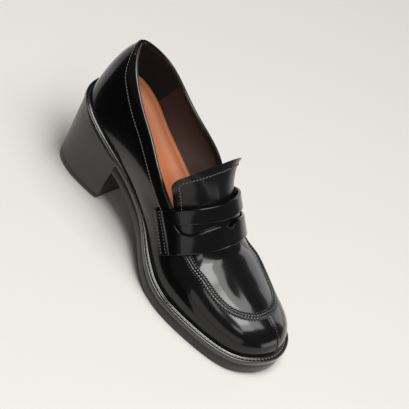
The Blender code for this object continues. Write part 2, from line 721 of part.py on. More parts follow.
def main():
    """Clear the scene and build the shoe from the floor up."""
    for thing in list(bpy.data.objects):
        bpy.data.objects.remove(thing)
    shoe = bpy.data.collections.new("loafer_pump")
    cutters = bpy.data.collections.new("cutters")
    for collection in (shoe, cutters):
        bpy.context.scene.collection.children.link(collection)
    pieces = [
        build_outsole(shoe),
        build_heel(shoe),
        build_midsole(shoe),
        build_insole(shoe),
        build_upper(shoe),
        build_tongue(shoe),
        build_strap(shoe, cutters),
        build_apron_seam(shoe),
        build_collar_band(shoe),
    ]
    centre_in_plan(pieces)


main()
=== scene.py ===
"""Visual scene of the loafer pump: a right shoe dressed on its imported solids, on a plain floor.

Lengths are metres. In shoe terms s runs from the back of the heel to the toe, x is the side
(plus = the wearer's inner side) and z the height. Every piece is laid on one last.
"""

import logging
from collections.abc import Callable, Mapping, Sequence
from dataclasses import dataclass
from enum import Enum
from itertools import product
from math import pi, radians
from typing import ClassVar, NamedTuple

import bmesh
import bpy
import numpy as np
from mathutils import Matrix, Vector


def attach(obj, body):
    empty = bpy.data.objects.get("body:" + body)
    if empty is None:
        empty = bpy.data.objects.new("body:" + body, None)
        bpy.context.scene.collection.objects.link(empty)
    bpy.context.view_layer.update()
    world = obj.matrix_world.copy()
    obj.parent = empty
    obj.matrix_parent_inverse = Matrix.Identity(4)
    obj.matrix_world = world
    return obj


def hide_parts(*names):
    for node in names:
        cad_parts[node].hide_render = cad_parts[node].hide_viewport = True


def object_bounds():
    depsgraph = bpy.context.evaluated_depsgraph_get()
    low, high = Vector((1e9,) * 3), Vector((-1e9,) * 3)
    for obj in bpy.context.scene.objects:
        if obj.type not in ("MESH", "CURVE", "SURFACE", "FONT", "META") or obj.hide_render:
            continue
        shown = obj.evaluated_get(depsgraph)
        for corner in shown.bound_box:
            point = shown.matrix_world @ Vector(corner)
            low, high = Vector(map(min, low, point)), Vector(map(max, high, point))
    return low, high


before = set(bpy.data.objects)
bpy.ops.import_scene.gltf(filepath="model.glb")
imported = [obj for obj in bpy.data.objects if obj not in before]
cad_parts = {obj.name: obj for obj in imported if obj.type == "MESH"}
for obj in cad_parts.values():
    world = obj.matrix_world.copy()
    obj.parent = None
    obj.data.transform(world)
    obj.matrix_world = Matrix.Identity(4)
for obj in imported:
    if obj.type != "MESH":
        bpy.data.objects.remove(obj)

CAD_BOX = [list(corner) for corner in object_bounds()]
LOG = logging.getLogger("loafer")
Array = np.ndarray
Curve = Callable[[Array], Array]
PROBE = 0.002  # step in u and v over which slopes are taken
TINY = 1e-5  # points closer than this are one
MM = 0.001  # sections are drawn in millimetres
TO_ROW = np.array([1.0, -1.0, 1.0])  # the row frame's Y runs against s
STITCH_RISE = 0.00008  # how far fine stitches stand off their leather


@dataclass(frozen=True)
class ShoeSizes:
    """Driving dimensions in metres, the same as the solids have."""

    sole_length: float = 0.250
    ball_width: float = 0.0855
    heel_rise: float = 0.0593
    toe_spring: float = 0.005
    instep_height: float = 0.065
    collar_height: float = 0.056
    outsole: float = 0.0086
    outsole_inset: float = 0.0004
    midsole: float = 0.0038
    welt_forefoot: float = 0.0050
    welt_waist: float = 0.0016
    welt_heel: float = 0.0034
    gap: float = 0.0003
    wall: float = 0.0020
    strap_back: float = 0.1407
    strap_width: float = 0.0340
    strap_over_throat: float = 0.0080
    apron_width: float = 0.0640
    apron_tip: float = 0.2206
    apron_squareness: float = 2.3


SIZES = ShoeSizes()


class Side(NamedTuple):
    """One side of a rib: s as a share of the sole's length, the rest of the ball's width."""

    s: float
    half: float
    flare: float
    reach: float


class Rib(NamedTuple):
    """A section of the last, from the feather line to the ridge."""

    name: str
    lateral: Side
    medial: Side
    ridge_s: float
    rise: float
    along: float
    up: float
    spread: float
    fall: float


# Here ridge_s is a share of the sole's length, rise of the instep's height; the rest bend the rib.
RIBS = (
    Rib("toe tip", Side(0.974, -0.018, 0.000, 0.009), Side(0.974, 0.018, 0.000, 0.009),
        0.816, 0.482, -0.07, 0.67, 0.53, 0.13),
    Rib("toe shoulder", Side(0.957, 0.170, 0.020, 0.100), Side(0.958, 0.199, 0.020, 0.110),
        0.813, 0.483, -0.05, 0.65, 0.52, 0.14),
    Rib("toe corner", Side(0.918, 0.316, 0.032, 0.183), Side(0.923, 0.328, 0.032, 0.187),
        0.806, 0.489, 0.00, 0.62, 0.50, 0.16),
    Rib("toe side", Side(0.852, 0.409, 0.036, 0.248), Side(0.860, 0.419, 0.036, 0.252),
        0.788, 0.502, 0.10, 0.60, 0.40, 0.20),
    Rib("joint", Side(0.760, 0.477, 0.036, 0.310), Side(0.768, 0.480, 0.036, 0.310),
        0.754, 0.546, 0.30, 0.60, 0.00, 0.00),
    Rib("ball", Side(0.660, 0.510, 0.036, 0.345), Side(0.660, 0.489, 0.045, 0.345),
        0.712, 0.602, 0.30, 0.66, 0.00, 0.00),
    Rib("strap front", Side(0.516, 0.427, 0.082, 0.345), Side(0.516, 0.374, 0.135, 0.360),
        0.661, 0.705, 0.45, 0.52, 0.00, 0.00),
    Rib("strap middle", Side(0.448, 0.351, 0.140, 0.328), Side(0.448, 0.310, 0.190, 0.380),
        0.612, 0.870, 0.42, 0.50, 0.00, 0.00),
    Rib("strap back", Side(0.380, 0.304, 0.200, 0.320), Side(0.380, 0.269, 0.235, 0.420),
        0.5628, 1.005, 0.40, 0.50, 0.00, 0.00),
    Rib("tongue top", Side(0.288, 0.292, 0.200, 0.375), Side(0.288, 0.281, 0.215, 0.445),
        0.481, 1.212, 0.35, 0.50, 0.00, 0.00),
    Rib("breast", Side(0.208, 0.327, 0.094, 0.262), Side(0.208, 0.316, 0.105, 0.290),
        0.368, 1.282, 0.35, 0.50, 0.00, 0.00),
    Rib("heel side", Side(0.120, 0.362, 0.030, 0.167), Side(0.120, 0.350, 0.030, 0.170),
        0.272, 1.350, 0.30, 0.50, 0.10, 0.00),
    Rib("heel corner", Side(0.038, 0.285, 0.025, 0.118), Side(0.038, 0.277, 0.025, 0.118),
        0.200, 1.330, 0.13, 0.48, 0.35, -0.10),
    Rib("heel back", Side(0.004, 0.000, 0.000, 0.000), Side(0.004, 0.000, 0.000, 0.000),
        0.160, 1.282, -0.14, 0.40, 0.84, -0.10),
)

# The profiles run over shares of the sole's length. Sole: height as a share of the heel rise.
SOLE_PROFILE = (
    (-0.040, 1.000), (0.000, 0.996), (0.120, 0.862), (0.248, 0.629),
    (0.400, 0.372), (0.540, 0.110), (0.600, 0.028), (0.660, 0.000), (1.020, 0.000),
)
# Height as a share of the toe spring.
SPRING_PROFILE = ((0.000, 0.000), (0.820, 0.000), (0.920, 0.350), (1.000, 1.000), (1.040, 1.400))
# How far the welt stands out, in metres.
WELT_PROFILE = (
    (-0.040, SIZES.welt_heel), (0.215, SIZES.welt_heel), (0.270, SIZES.welt_waist),
    (0.380, SIZES.welt_waist), (0.560, SIZES.welt_forefoot), (1.040, SIZES.welt_forefoot),
)
# Height of the top line over the welt, as a share of the collar's height.
COLLAR_PROFILE = (
    (-0.020, 1.020), (0.043, 1.000), (0.104, 0.960), (0.208, 0.900), (0.308, 0.855),
    (0.400, 0.800), (0.478, 0.735), (0.540, 0.715), (0.620, 0.710),
)


def monotone(rows: Sequence[tuple[float, float]]) -> Curve:
    """Make a smooth curve through rows that never overshoots them.

    Args:
        rows: pairs of x and y, with x growing.

    Returns:
        A function of x.
    """
    x, y = (np.array(column, dtype=float) for column in zip(*rows))
    step, rise = np.diff(x), np.diff(y)
    slope = rise / step
    tangent = np.zeros_like(x)
    before, after = 2 * step[1:] + step[:-1], step[1:] + 2 * step[:-1]
    same_way = slope[:-1] * slope[1:] > 0
    safe = np.where(same_way, slope[:-1] * slope[1:], 1.0)
    blend = (before + after) * safe / (before * slope[1:] + after * slope[:-1] + (~same_way))
    tangent[1:-1] = np.where(same_way, blend, 0.0)
    tangent[0], tangent[-1] = slope[0], slope[-1]

    def curve(at: Array) -> Array:
        """Read the curve.

        Args:
            at: places on x.

        Returns:
            The heights there.
        """
        at = np.clip(np.asarray(at, dtype=float), x[0], x[-1])
        i = np.clip(np.searchsorted(x, at, side="right") - 1, 0, len(step) - 1)
        t = (at - x[i]) / step[i]
        return (y[i] * (1 + 2 * t) * (1 - t) ** 2 + tangent[i] * step[i] * t * (1 - t) ** 2
                + y[i + 1] * t * t * (3 - 2 * t) + tangent[i + 1] * step[i] * t * t * (t - 1))

    return curve


def closed_spline(knots: Sequence[float], period: float, values: Sequence[Array]) -> Curve:
    """Make a cubic spline through values that repeats after one period.

    Args:
        knots: where the values stand.
        period: the length after which the curve repeats.
        values: one row of numbers for each knot.

    Returns:
        A function of the place along the knots.
    """
    knots, values = np.array(knots), np.array(values)
    count = len(knots)
    step = np.diff(np.append(knots, knots[0] + period))
    matrix, right = np.zeros((count, count)), np.zeros_like(values)
    for i in range(count):
        before, after = (i - 1) % count, (i + 1) % count
        matrix[i, before] += step[before]
        matrix[i, i] += 2 * (step[before] + step[i])
        matrix[i, after] += step[i]
        right[i] = 6 * ((values[after] - values[i]) / step[i]
                        - (values[i] - values[before]) / step[before])
    bend = np.linalg.solve(matrix, right)

    def curve(at: Array) -> Array:
        """Read the spline.

        Args:
            at: places along the knots.

        Returns:
            A row of numbers for each place.
        """
        at = np.mod(np.asarray(at, dtype=float) - knots[0], period) + knots[0]
        i = np.clip(np.searchsorted(knots, at, side="right") - 1, 0, count - 1)
        j = (i + 1) % count
        width = step[i][..., None]
        t = (at - knots[i])[..., None]
        rest = width - t
        return ((bend[i] * rest**3 + bend[j] * t**3) / (6 * width)
                + (values[i] / width - bend[i] * width / 6) * rest
                + (values[j] / width - bend[j] * width / 6) * t)

    return curve


class Last:
    """The surface that every piece is laid on.

    A place is (u, v): u runs from 0 at the toe tip along the outer side to 1 at the heel's back
    and on along the inner side to 2, and v from 0 at the feather line to 1 at the ridge.
    """

    def __init__(self, sizes: ShoeSizes) -> None:
        """Set up the curves of the last.

        Args:
            sizes: the shoe's driving dimensions.
        """
        self.sizes = sizes
        self._sole = monotone(SOLE_PROFILE)
        self._spring = monotone(SPRING_PROFILE)
        self._collar = monotone(COLLAR_PROFILE)
        self._welt = monotone(WELT_PROFILE)
        half = np.array([(rib.lateral.s * sizes.sole_length, rib.lateral.half * sizes.ball_width)
                         for rib in RIBS])
        chords = np.hypot(*np.diff(half, axis=0).T)
        stations = np.concatenate([[0.0], np.cumsum(chords) / chords.sum()])
        knots, rows = [], []
        for place, rib in zip(stations, RIBS):
            knots.append(place)
            rows.append(self._row(rib, rib.lateral, -1.0))
        for place, rib in reversed(list(zip(stations, RIBS))[1:-1]):
            knots.append(2.0 - place)
            rows.append(self._row(rib, rib.medial, 1.0))
        self._spline = closed_spline(knots, 2.0, rows)
        self._fine = np.linspace(0.0, 1.0, 400)
        ridge = self.point(self._fine, np.ones(400))
        run = np.hypot(*np.diff(ridge[:, 1:], axis=0).T)
        self._run = np.concatenate([[0.0], np.cumsum(run)])
        self._ridge_s = ridge[:, 1]
        edge = self.welt_edge(np.linspace(0.0, 2.0, 400))
        self.middle = (edge.max(axis=0) + edge.min(axis=0)) / 2

    def _row(self, rib: Rib, side: Side, outward: float) -> Array:
        """Lay out one side of a rib.

        Args:
            rib: the section.
            side: its outer or inner side.
            outward: -1 for the outer side and 1 for the inner side.

        Returns:
            Feather, two handles and ridge as twelve lengths.
        """
        length, ball = self.sizes.sole_length, self.sizes.ball_width
        start = np.array([outward * side.half * ball, side.s * length, 0.0])
        start[2] = self.bed(start[1]) + self.sizes.gap
        end = np.array([0.0, rib.ridge_s * length, 0.0])
        end[2] = self.bed(end[1]) + rib.rise * self.sizes.instep_height
        lower = start + (end - start) * np.array([0.0, rib.along, rib.up])
        lower[0] += outward * side.flare * ball
        upper = end + (start - end) * np.array([0.0, rib.spread, 0.0])
        upper[0] += np.sign(start[0]) * side.reach * ball
        upper[2] -= rib.fall * (upper[1] - end[1])
        return np.concatenate([start, lower, upper, end])

    def underside(self, s: Array) -> Array:
        """Height of the sole's underside at s."""
        share = np.asarray(s) / self.sizes.sole_length
        return self.sizes.heel_rise * self._sole(share) + self.sizes.toe_spring * self._spring(share)

    def bed(self, s: Array) -> Array:
        """Height of the welt's top face at s."""
        return self.underside(s) + self.sizes.outsole + self.sizes.gap + self.sizes.midsole

    def point(self, u: Array, v: Array) -> Array:
        """Places on the last.

        Args:
            u: how far round the shoe.
            v: how far from the feather line to the ridge.

        Returns:
            An array of x, s, z.
        """
        u, v = np.broadcast_arrays(np.asarray(u, dtype=float), np.asarray(v, dtype=float))
        rib = self._spline(u)
        lift = self.bed(rib[..., 1]) + self.sizes.gap - rib[..., 2]
        rib[..., 2] += lift
        rib[..., 5] += lift
        t, r = v[..., None], 1.0 - v[..., None]
        return (rib[..., 0:3] * r**3 + rib[..., 3:6] * 3 * t * r**2
                + rib[..., 6:9] * 3 * t**2 * r + rib[..., 9:12] * t**3)

    def normal(self, u: Array, v: Array) -> Array:
        """Unit normals that point out of the shoe, level across the ridge.

        Args:
            u: how far round the shoe.
            v: how far from the feather line to the ridge.

        Returns:
            An array of unit vectors.
        """
        u, v = np.broadcast_arrays(np.asarray(u, dtype=float), np.asarray(v, dtype=float))
        inner = np.clip(v, PROBE, 1.0 - 8 * PROBE)
        across = self.point(u + PROBE, inner) - self.point(u - PROBE, inner)
        upward = self.point(u, inner + PROBE) - self.point(u, inner - PROBE)
        out = np.cross(across, upward)
        out[..., 0] *= np.clip((1.0 - v) / (8 * PROBE), 0.0, 1.0)
        return out / np.linalg.norm(out, axis=-1, keepdims=True)

    def skin(self, u: Array, v: Array, height: Array) -> Array:
        """Places at a height over the last."""
        return self.point(u, v) + self.normal(u, v) * np.asarray(height)[..., None]

    def station_at(self, ridge_s: float, forward: Array = 0.0) -> Array:
        """Station of the rib whose ridge lies a distance forward of ridge_s."""
        run = np.interp(-ridge_s, -self._ridge_s, self._run) - np.asarray(forward)
        return np.interp(run, self._run, self._fine)

    def place(self, station: Array, across: Array) -> tuple[Array, Array]:
        """Find places at a distance across the ridge.

        Args:
            station: the ribs' stations.
            across: distances from the ridge along the ribs, minus on the outer side.

        Returns:
            The places' u and v.
        """
        station, across = np.broadcast_arrays(station, across)
        u = np.where(across > 0, 2.0 - station, station)
        samples = np.linspace(1.0, 0.0, 60)
        line = self.point(u[..., None], samples)
        steps = np.linalg.norm(np.diff(line, axis=-2), axis=-1)
        run = np.concatenate([np.zeros((*u.shape, 1)), np.cumsum(steps, axis=-1)], axis=-1)
        reach = np.abs(across)[..., None]
        i = np.clip((run < reach).sum(axis=-1) - 1, 0, 58)
        low = np.take_along_axis(run, i[..., None], axis=-1)[..., 0]
        high = np.take_along_axis(run, i[..., None] + 1, axis=-1)[..., 0]
        share = np.clip((reach[..., 0] - low) / np.maximum(high - low, TINY), 0.0, 1.0)
        return u, samples[i] + share * (samples[i + 1] - samples[i])

    def cut(self, u: Array, inside: Callable[[Array], Array]) -> Array:
        """Find where on each rib a test turns from true to false.

        Args:
            u: the ribs' places round the shoe.
            inside: the test.

        Returns:
            The v of each turn.
        """
        u = np.asarray(u, dtype=float)
        low, high = np.zeros_like(u), np.ones_like(u)
        for _ in range(34):
            middle = (low + high) / 2
            keep = inside(self.point(u, middle))
            low, high = np.where(keep, middle, low), np.where(keep, high, middle)
        return low

    def rib_speed(self, u: Array, v: Array) -> Array:
        """How fast a place moves along its rib as v grows."""
        run = self.point(u, v + PROBE) - self.point(u, v - PROBE)
        return np.linalg.norm(run, axis=-1) / (2 * PROBE)

    def below_collar(self, points: Array) -> Array:
        """True for places below the collar's top line."""
        share = self._collar(points[..., 1] / self.sizes.sole_length)
        return points[..., 2] < self.bed(points[..., 1]) + self.sizes.collar_height * share

    def outside_apron(self, points: Array) -> Array:
        """Tell which places lie between the feather line and the seam round the apron.

        Args:
            points: shoe places.

        Returns:
            An array of true and false.
        """
        sizes = self.sizes
        start = self.point(self.station_at(sizes.strap_back, sizes.strap_width), 1.0)[1]
        forward = np.clip((points[..., 1] - start) / (sizes.apron_tip - start), 0.0, 1.0)
        power = sizes.apron_squareness
        half = sizes.apron_width / 2 * (1.0 - forward**power) ** (1.0 / power)
        return np.abs(points[..., 0]) > half

    def welt_width(self, u: Array) -> Array:
        """How much of the welt shows at u."""
        return self._welt(self.point(u, 0.0)[..., 1] / self.sizes.sole_length)

    def outline(self, u: Array, offset: Array) -> Array:
        """Go round the shoe beside the feather line.

        Args:
            u: how far round the shoe.
            offset: how far outwards from the feather line.

        Returns:
            Plan places (x, s).
        """
        u = np.asarray(u)
        along = (self.point(u + PROBE, 0.0) - self.point(u - PROBE, 0.0))[..., :2]
        along = along / np.linalg.norm(along, axis=-1, keepdims=True)
        outward = np.stack([along[..., 1], -along[..., 0]], axis=-1)
        return self.point(u, 0.0)[..., :2] + outward * np.asarray(offset)[..., None]

    def welt_edge(self, u: Array, inset: float = 0.0) -> Array:
        """Plan places along the welt's edge, or at an inset inside it."""
        return self.outline(u, self.welt_width(u) - inset)

    def edge_station(self, s: float, inner_side: bool, inset: float) -> float:
        """Find where the welt's edge passes s.

        Args:
            s: the distance from the back of the heel.
            inner_side: whether to look on the inner side.
            inset: how far inside the edge to look.

        Returns:
            The u of that place.
        """
        fine = np.linspace(0.0, 1.0, 800)
        u = 2.0 - fine if inner_side else fine
        return float(np.interp(-s, -self.welt_edge(u, inset)[:, 1], u))

    def world(self, points: Array) -> Array:
        """Shoe places (x, s, z) in the row frame, with the toe to -Y."""
        points = np.asarray(points, dtype=float)
        return np.stack([points[..., 0] - self.middle[0], self.middle[1] - points[..., 1],
                         points[..., 2]], axis=-1)


class Grain(Enum):
    """The noise of a surface's fine relief: cells in a metre along x, y and z, and its detail."""

    POLISHED = ((900.0, 900.0, 900.0), 3.0)
    SUEDE = ((2600.0, 2600.0, 2600.0), 3.0)
    LAYERED = ((6.0, 6.0, 760.0), 4.0)
    BRUSHED = ((40.0, 40.0, 900.0), 4.0)


def add_node(tree: bpy.types.NodeTree, kind: str, inputs: Mapping | None = None,
             **settings: str) -> bpy.types.Node:
    """Add a node to a tree.

    Args:
        tree: the node tree.
        kind: the node's type.
        inputs: what each input gets, a socket to link or a constant.
        settings: the node's own settings.

    Returns:
        The node.
    """
    node = tree.nodes.new(kind)
    for name, value in settings.items():
        setattr(node, name, value)
    for name, source in (inputs or {}).items():
        if isinstance(source, bpy.types.NodeSocket):
            tree.links.new(source, node.inputs[name])
        else:
            node.inputs[name].default_value = source
    return node


@dataclass(frozen=True)
class Finish:
    """A leather, edge or thread finish, built as a node material.

    Attributes:
        name: the material's name.
        dark: the darker of its two colours.
        light: the lighter one, mixed in by a soft noise.
        rough: roughness under the coat.
        coat: strength of the polish on top.
        coat_rough: roughness of the polish.
        grain: the kind of fine relief.
        relief: depth of the relief in metres.
        wave: depth of the slow waves in the surface, in metres.
        gloss: how much light the layer under the polish mirrors (0.5 is the usual amount).
    """

    name: str
    dark: tuple[float, float, float]
    light: tuple[float, float, float]
    rough: float
    coat: float = 0.0
    coat_rough: float = 0.05
    grain: Grain = Grain.POLISHED
    relief: float = 0.00002
    wave: float = 0.0
    gloss: float = 0.5

    TINT_CELLS: ClassVar[float] = 45.0
    WAVE_CELLS: ClassVar[float] = 42.0

    def build(self) -> bpy.types.Material:
        """Make the node material.

        Returns:
            The material, or the one already made under this name.
        """
        found = bpy.data.materials.get(self.name)
        if found is not None:
            return found
        material = bpy.data.materials.new(self.name)
        material.use_nodes = True
        tree = material.node_tree
        place = tree.nodes.new("ShaderNodeTexCoord").outputs["Object"]
        tint = self._noise(tree, place, self.TINT_CELLS, 4.0)
        mix = add_node(tree, "ShaderNodeMix", {
            "Factor": tint, "A": (*self.dark, 1.0), "B": (*self.light, 1.0)}, data_type="RGBA")
        normal = self._relief(tree, place)
        shader = tree.nodes["Principled BSDF"]
        for name, value in (("Roughness", self.rough), ("Specular IOR Level", self.gloss),
                            ("Coat Weight", self.coat), ("Coat Roughness", self.coat_rough)):
            shader.inputs[name].default_value = value
        for name, source in (("Base Color", self._tinted(tree, place, mix.outputs["Result"])),
                             ("Normal", normal), ("Coat Normal", normal)):
            tree.links.new(source, shader.inputs[name])
        return material

    def _tinted(self, tree: bpy.types.NodeTree, place: bpy.types.NodeSocket,
                colour: bpy.types.NodeSocket) -> bpy.types.NodeSocket:
        """Change the colour further, where a finish needs it."""
        return colour

    @staticmethod
    def _noise(tree: bpy.types.NodeTree, place: bpy.types.NodeSocket, cells: float,
               detail: float) -> bpy.types.NodeSocket:
        """Add a noise texture of so many cells in a metre and return its factor."""
        return add_node(tree, "ShaderNodeTexNoise", {
            "Vector": place, "Scale": cells, "Detail": detail}).outputs["Fac"]

    def _relief(self, tree: bpy.types.NodeTree,
                place: bpy.types.NodeSocket) -> bpy.types.NodeSocket:
        """Add the fine relief and the slow waves.

        Args:
            tree: the material's nodes.
            place: where on the shoe a point lies.

        Returns:
            The normal.
        """
        cells, detail = self.grain.value
        mapping = add_node(tree, "ShaderNodeMapping", {"Vector": place, "Scale": cells})
        height = self._noise(tree, mapping.outputs["Vector"], 1.0, detail)
        fine = add_node(tree, "ShaderNodeBump", {
            "Strength": 1.0, "Distance": self.relief, "Height": height}).outputs["Normal"]
        if not self.wave:
            return fine
        slow = self._noise(tree, place, self.WAVE_CELLS, 0.5)
        return add_node(tree, "ShaderNodeBump", {
            "Strength": 1.0, "Distance": self.wave, "Height": slow,
            "Normal": fine}).outputs["Normal"]


@dataclass(frozen=True)
class LiningFinish(Finish):
    """Lining leather that is darker at the heel grip, where Y + slant * Z is past the seam."""

    grip: tuple[float, float, float] = (0.0260, 0.0340, 0.0420)
    seam: float = 0.112
    seam_width: float = 0.0008
    slant: float = 0.35

    def _tinted(self, tree: bpy.types.NodeTree, place: bpy.types.NodeSocket,
                colour: bpy.types.NodeSocket) -> bpy.types.NodeSocket:
        """Mix in the grip's colour behind the seam.

        Args:
            tree: the material's nodes.
            place: where on the shoe a point lies.
            colour: the lining's own colour.

        Returns:
            The mixed colour.
        """
        split = add_node(tree, "ShaderNodeSeparateXYZ", {"Vector": place})
        slanted = add_node(tree, "ShaderNodeMath", {
            0: split.outputs["Z"], 1: self.slant, 2: split.outputs["Y"]},
            operation="MULTIPLY_ADD")
        behind = add_node(tree, "ShaderNodeMapRange", {
            "Value": slanted.outputs["Value"], "From Min": self.seam,
            "From Max": self.seam + self.seam_width})
        mix = add_node(tree, "ShaderNodeMix", {
            "Factor": behind.outputs["Result"], "A": colour, "B": (*self.grip, 1.0)},
            data_type="RGBA")
        return mix.outputs["Result"]


POLISHED = Finish("polished_black_leather", (0.0018, 0.0018, 0.0020), (0.0030, 0.0030, 0.0033),
                  0.34, coat=0.88, coat_rough=0.13, relief=0.000006, wave=0.00040, gloss=0.08)
SATIN = Finish("satin_black_leather", (0.0030, 0.0030, 0.0033), (0.0050, 0.0050, 0.0054),
               0.36, coat=0.75, coat_rough=0.20, relief=0.000010, wave=0.00012, gloss=0.08)
BAND_LEATHER = Finish("collar_band_leather", (0.0018, 0.0018, 0.0020), (0.0030, 0.0030, 0.0033),
                      0.34, coat=0.88, coat_rough=0.11, relief=0.000008, gloss=0.10)
SEAM_LEATHER = Finish("gathered_seam_leather", (0.0024, 0.0024, 0.0027),
                      (0.0048, 0.0048, 0.0052), 0.36, coat=0.85, coat_rough=0.13,
                      relief=0.00002, gloss=0.20)
WELT_LEATHER = Finish("waxed_welt_leather", (0.0090, 0.0090, 0.0093), (0.0160, 0.0158, 0.0158),
                      0.38, coat=1.0, coat_rough=0.15, relief=0.000012, gloss=0.50)
SOLE_EDGE = Finish("sole_edge_dressing", (0.0125, 0.0119, 0.0116), (0.0190, 0.0182, 0.0176),
                   0.44, coat=0.50, coat_rough=0.30, grain=Grain.BRUSHED, relief=0.00002,
                   gloss=0.30)
HEEL_STACK = Finish("stained_heel_stack", (0.0150, 0.0144, 0.0130), (0.0330, 0.0316, 0.0288),
                    0.40, coat=0.50, coat_rough=0.28, grain=Grain.LAYERED, relief=0.00022,
                    gloss=0.30)
INSOLE_TAN = Finish("tan_insole_leather", (0.330, 0.102, 0.037), (0.410, 0.141, 0.056),
                    0.50, coat=0.06, coat_rough=0.35, relief=0.00002, gloss=0.25)
LINING = LiningFinish("quarter_lining", (0.0700, 0.0520, 0.0460), (0.1000, 0.0750, 0.0660),
                      0.50, relief=0.00002, gloss=0.08)
TONGUE_LINING = Finish("tongue_lining", (0.0100, 0.0090, 0.0090), (0.0160, 0.0141, 0.0128),
                       0.6, grain=Grain.SUEDE, gloss=0.30)
# Black thread lightened to grey: partly the thread's own dark colour, partly a painted highlight for
# the light its strands catch.
THREAD_WITH_PAINTED_GLINT = Finish("waxed_black_thread_painted_glint", (0.0500, 0.0500, 0.0530), (0.0850, 0.0850, 0.0890),
                0.42, coat=0.60, coat_rough=0.22, relief=0.00003, gloss=0.30)
# Welt thread lightened to grey as a painted highlight, so the stitches in the channel show as bright
# dashes.
WELT_THREAD_PAINTED_HIGHLIGHT = Finish("welt_thread_painted_highlight", (0.1050, 0.1050, 0.1080), (0.1650, 0.1650, 0.1690),
                     0.45, coat=0.40, coat_rough=0.25, relief=0.00003, gloss=0.30)
# A black sheet that only reflections show: painted shade in the leather's dark reflections.
PAINTED_SHADE_CARD_FINISH = Finish("painted_reflection_shade", (0.010, 0.010, 0.010), (0.012, 0.012, 0.012), 0.95,
                    relief=0.00001, gloss=0.0)
PALE_FLOOR = Finish("pale_floor", (0.590, 0.576, 0.554), (0.596, 0.582, 0.560), 0.95,
                    relief=0.00001, gloss=0.0)


def grid_faces(rows: int, columns: int, start: int = 0, wrap: bool = False) -> list[tuple]:
    """Quads of a grid of points laid out row by row.

    Args:
        rows: how many rows of points.
        columns: how many points in a row.
        start: index of the first point.
        wrap: whether the last column joins the first.

    Returns:
        The faces as index tuples.
    """
    faces = []
    for r in range(rows - 1):
        for c in range(columns if wrap else columns - 1):
            d = (c + 1) % columns
            low, high = start + r * columns, start + (r + 1) * columns
            faces.append((low + c, low + d, high + d, high + c))
    return faces


def linked(name: str, data: bpy.types.ID) -> bpy.types.Object:
    """Make an object and put it in the scene.

    Args:
        name: the object's name.
        data: its mesh, light or camera.

    Returns:
        The linked object.
    """
    thing = bpy.data.objects.new(name, data)
    bpy.context.scene.collection.objects.link(thing)
    return thing


def make_object(name: str, points: Array, faces: Sequence[tuple],
                finishes: Sequence[Finish]) -> bpy.types.Object:
    """Make a smooth-shaded mesh object from points and faces.

    Args:
        name: the piece's name.
        points: places in the row frame.
        faces: index tuples.
        finishes: the materials, in slot order.

    Returns:
        The linked object.
    """
    mesh = bpy.data.meshes.new(name)
    mesh.from_pydata([tuple(map(float, p)) for p in points.reshape(-1, 3)], [], faces)
    shape = bmesh.new()
    shape.from_mesh(mesh)
    bmesh.ops.remove_doubles(shape, verts=shape.verts, dist=TINY)
    bmesh.ops.dissolve_degenerate(shape, edges=shape.edges, dist=TINY / 2)
    bmesh.ops.recalc_face_normals(shape, faces=shape.faces)
    shape.to_mesh(mesh)
    shape.free()
    mesh.shade_smooth()
    for finish in finishes:
        mesh.materials.append(finish.build())
    return linked(name, mesh)


def bevelled(thing: bpy.types.Object, width: float, segments: int, angle: float) -> None:
    """Round the sharp edges of a piece.

    Args:
        thing: the piece.
        width: how wide the rounding is.
        segments: how many faces cross it.
        angle: the sharpest turn, in degrees, that is left as it is.
    """
    bevel = thing.modifiers.new("edges", "BEVEL")
    bevel.width = width
    bevel.segments = segments
    bevel.limit_method = "ANGLE"
    bevel.angle_limit = radians(angle)


def bake(thing: bpy.types.Object) -> None:
    """Turn an object's modifiers into its mesh.

    Args:
        thing: the object.
    """
    bpy.context.view_layer.update()
    graph = bpy.context.evaluated_depsgraph_get()
    mesh = bpy.data.meshes.new_from_object(thing.evaluated_get(graph))
    thing.modifiers.clear()
    thing.data = mesh


def fit_piece(thing: bpy.types.Object, slot: str, *nodes: str) -> None:
    """Fix a piece to the shoe's body and hide the solids it stands for.

    Args:
        thing: the finished piece.
        slot: not used.
        nodes: the CAD nodes that it replaces.
    """
    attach(thing, "root")
    if nodes:
        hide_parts(*nodes)
    LOG.info("%s: %d faces", thing.name, len(thing.data.polygons))


def eased(share: Array) -> Array:
    """Smooth step from 0 to 1."""
    share = np.clip(share, 0.0, 1.0)
    return share * share * (3 - 2 * share)


def plan_grid(outer: Array, inner: Array, columns: int) -> Array:
    """A grid of plan places between two edges, from the outer side to the inner side."""
    share = np.linspace(0.0, 1.0, columns)[None, :, None]
    return outer[:, None, :] * (1 - share) + inner[:, None, :] * share


def raised(plan: Array, height: Curve) -> Array:
    """Add heights, worked out from s, to plan places."""
    return np.concatenate([plan, height(plan[..., 1])[..., None]], axis=-1)


def closer_at_ends(start: float, end: float, count: int) -> Array:
    """Stations between start and end that come closer together at both ends."""
    share = (1 - np.cos(np.linspace(0.0, pi, count))) / 2
    return start + (end - start) * (0.6 * share + 0.4 * np.linspace(0.0, 1.0, count))


def finer_in_middle(middle: float, half: float, count: int) -> Array:
    """Stations on both sides of a middle, closest together there."""
    t = np.linspace(-1.0, 1.0, count)
    return middle + half * (0.25 * t + 0.75 * t * np.abs(t))


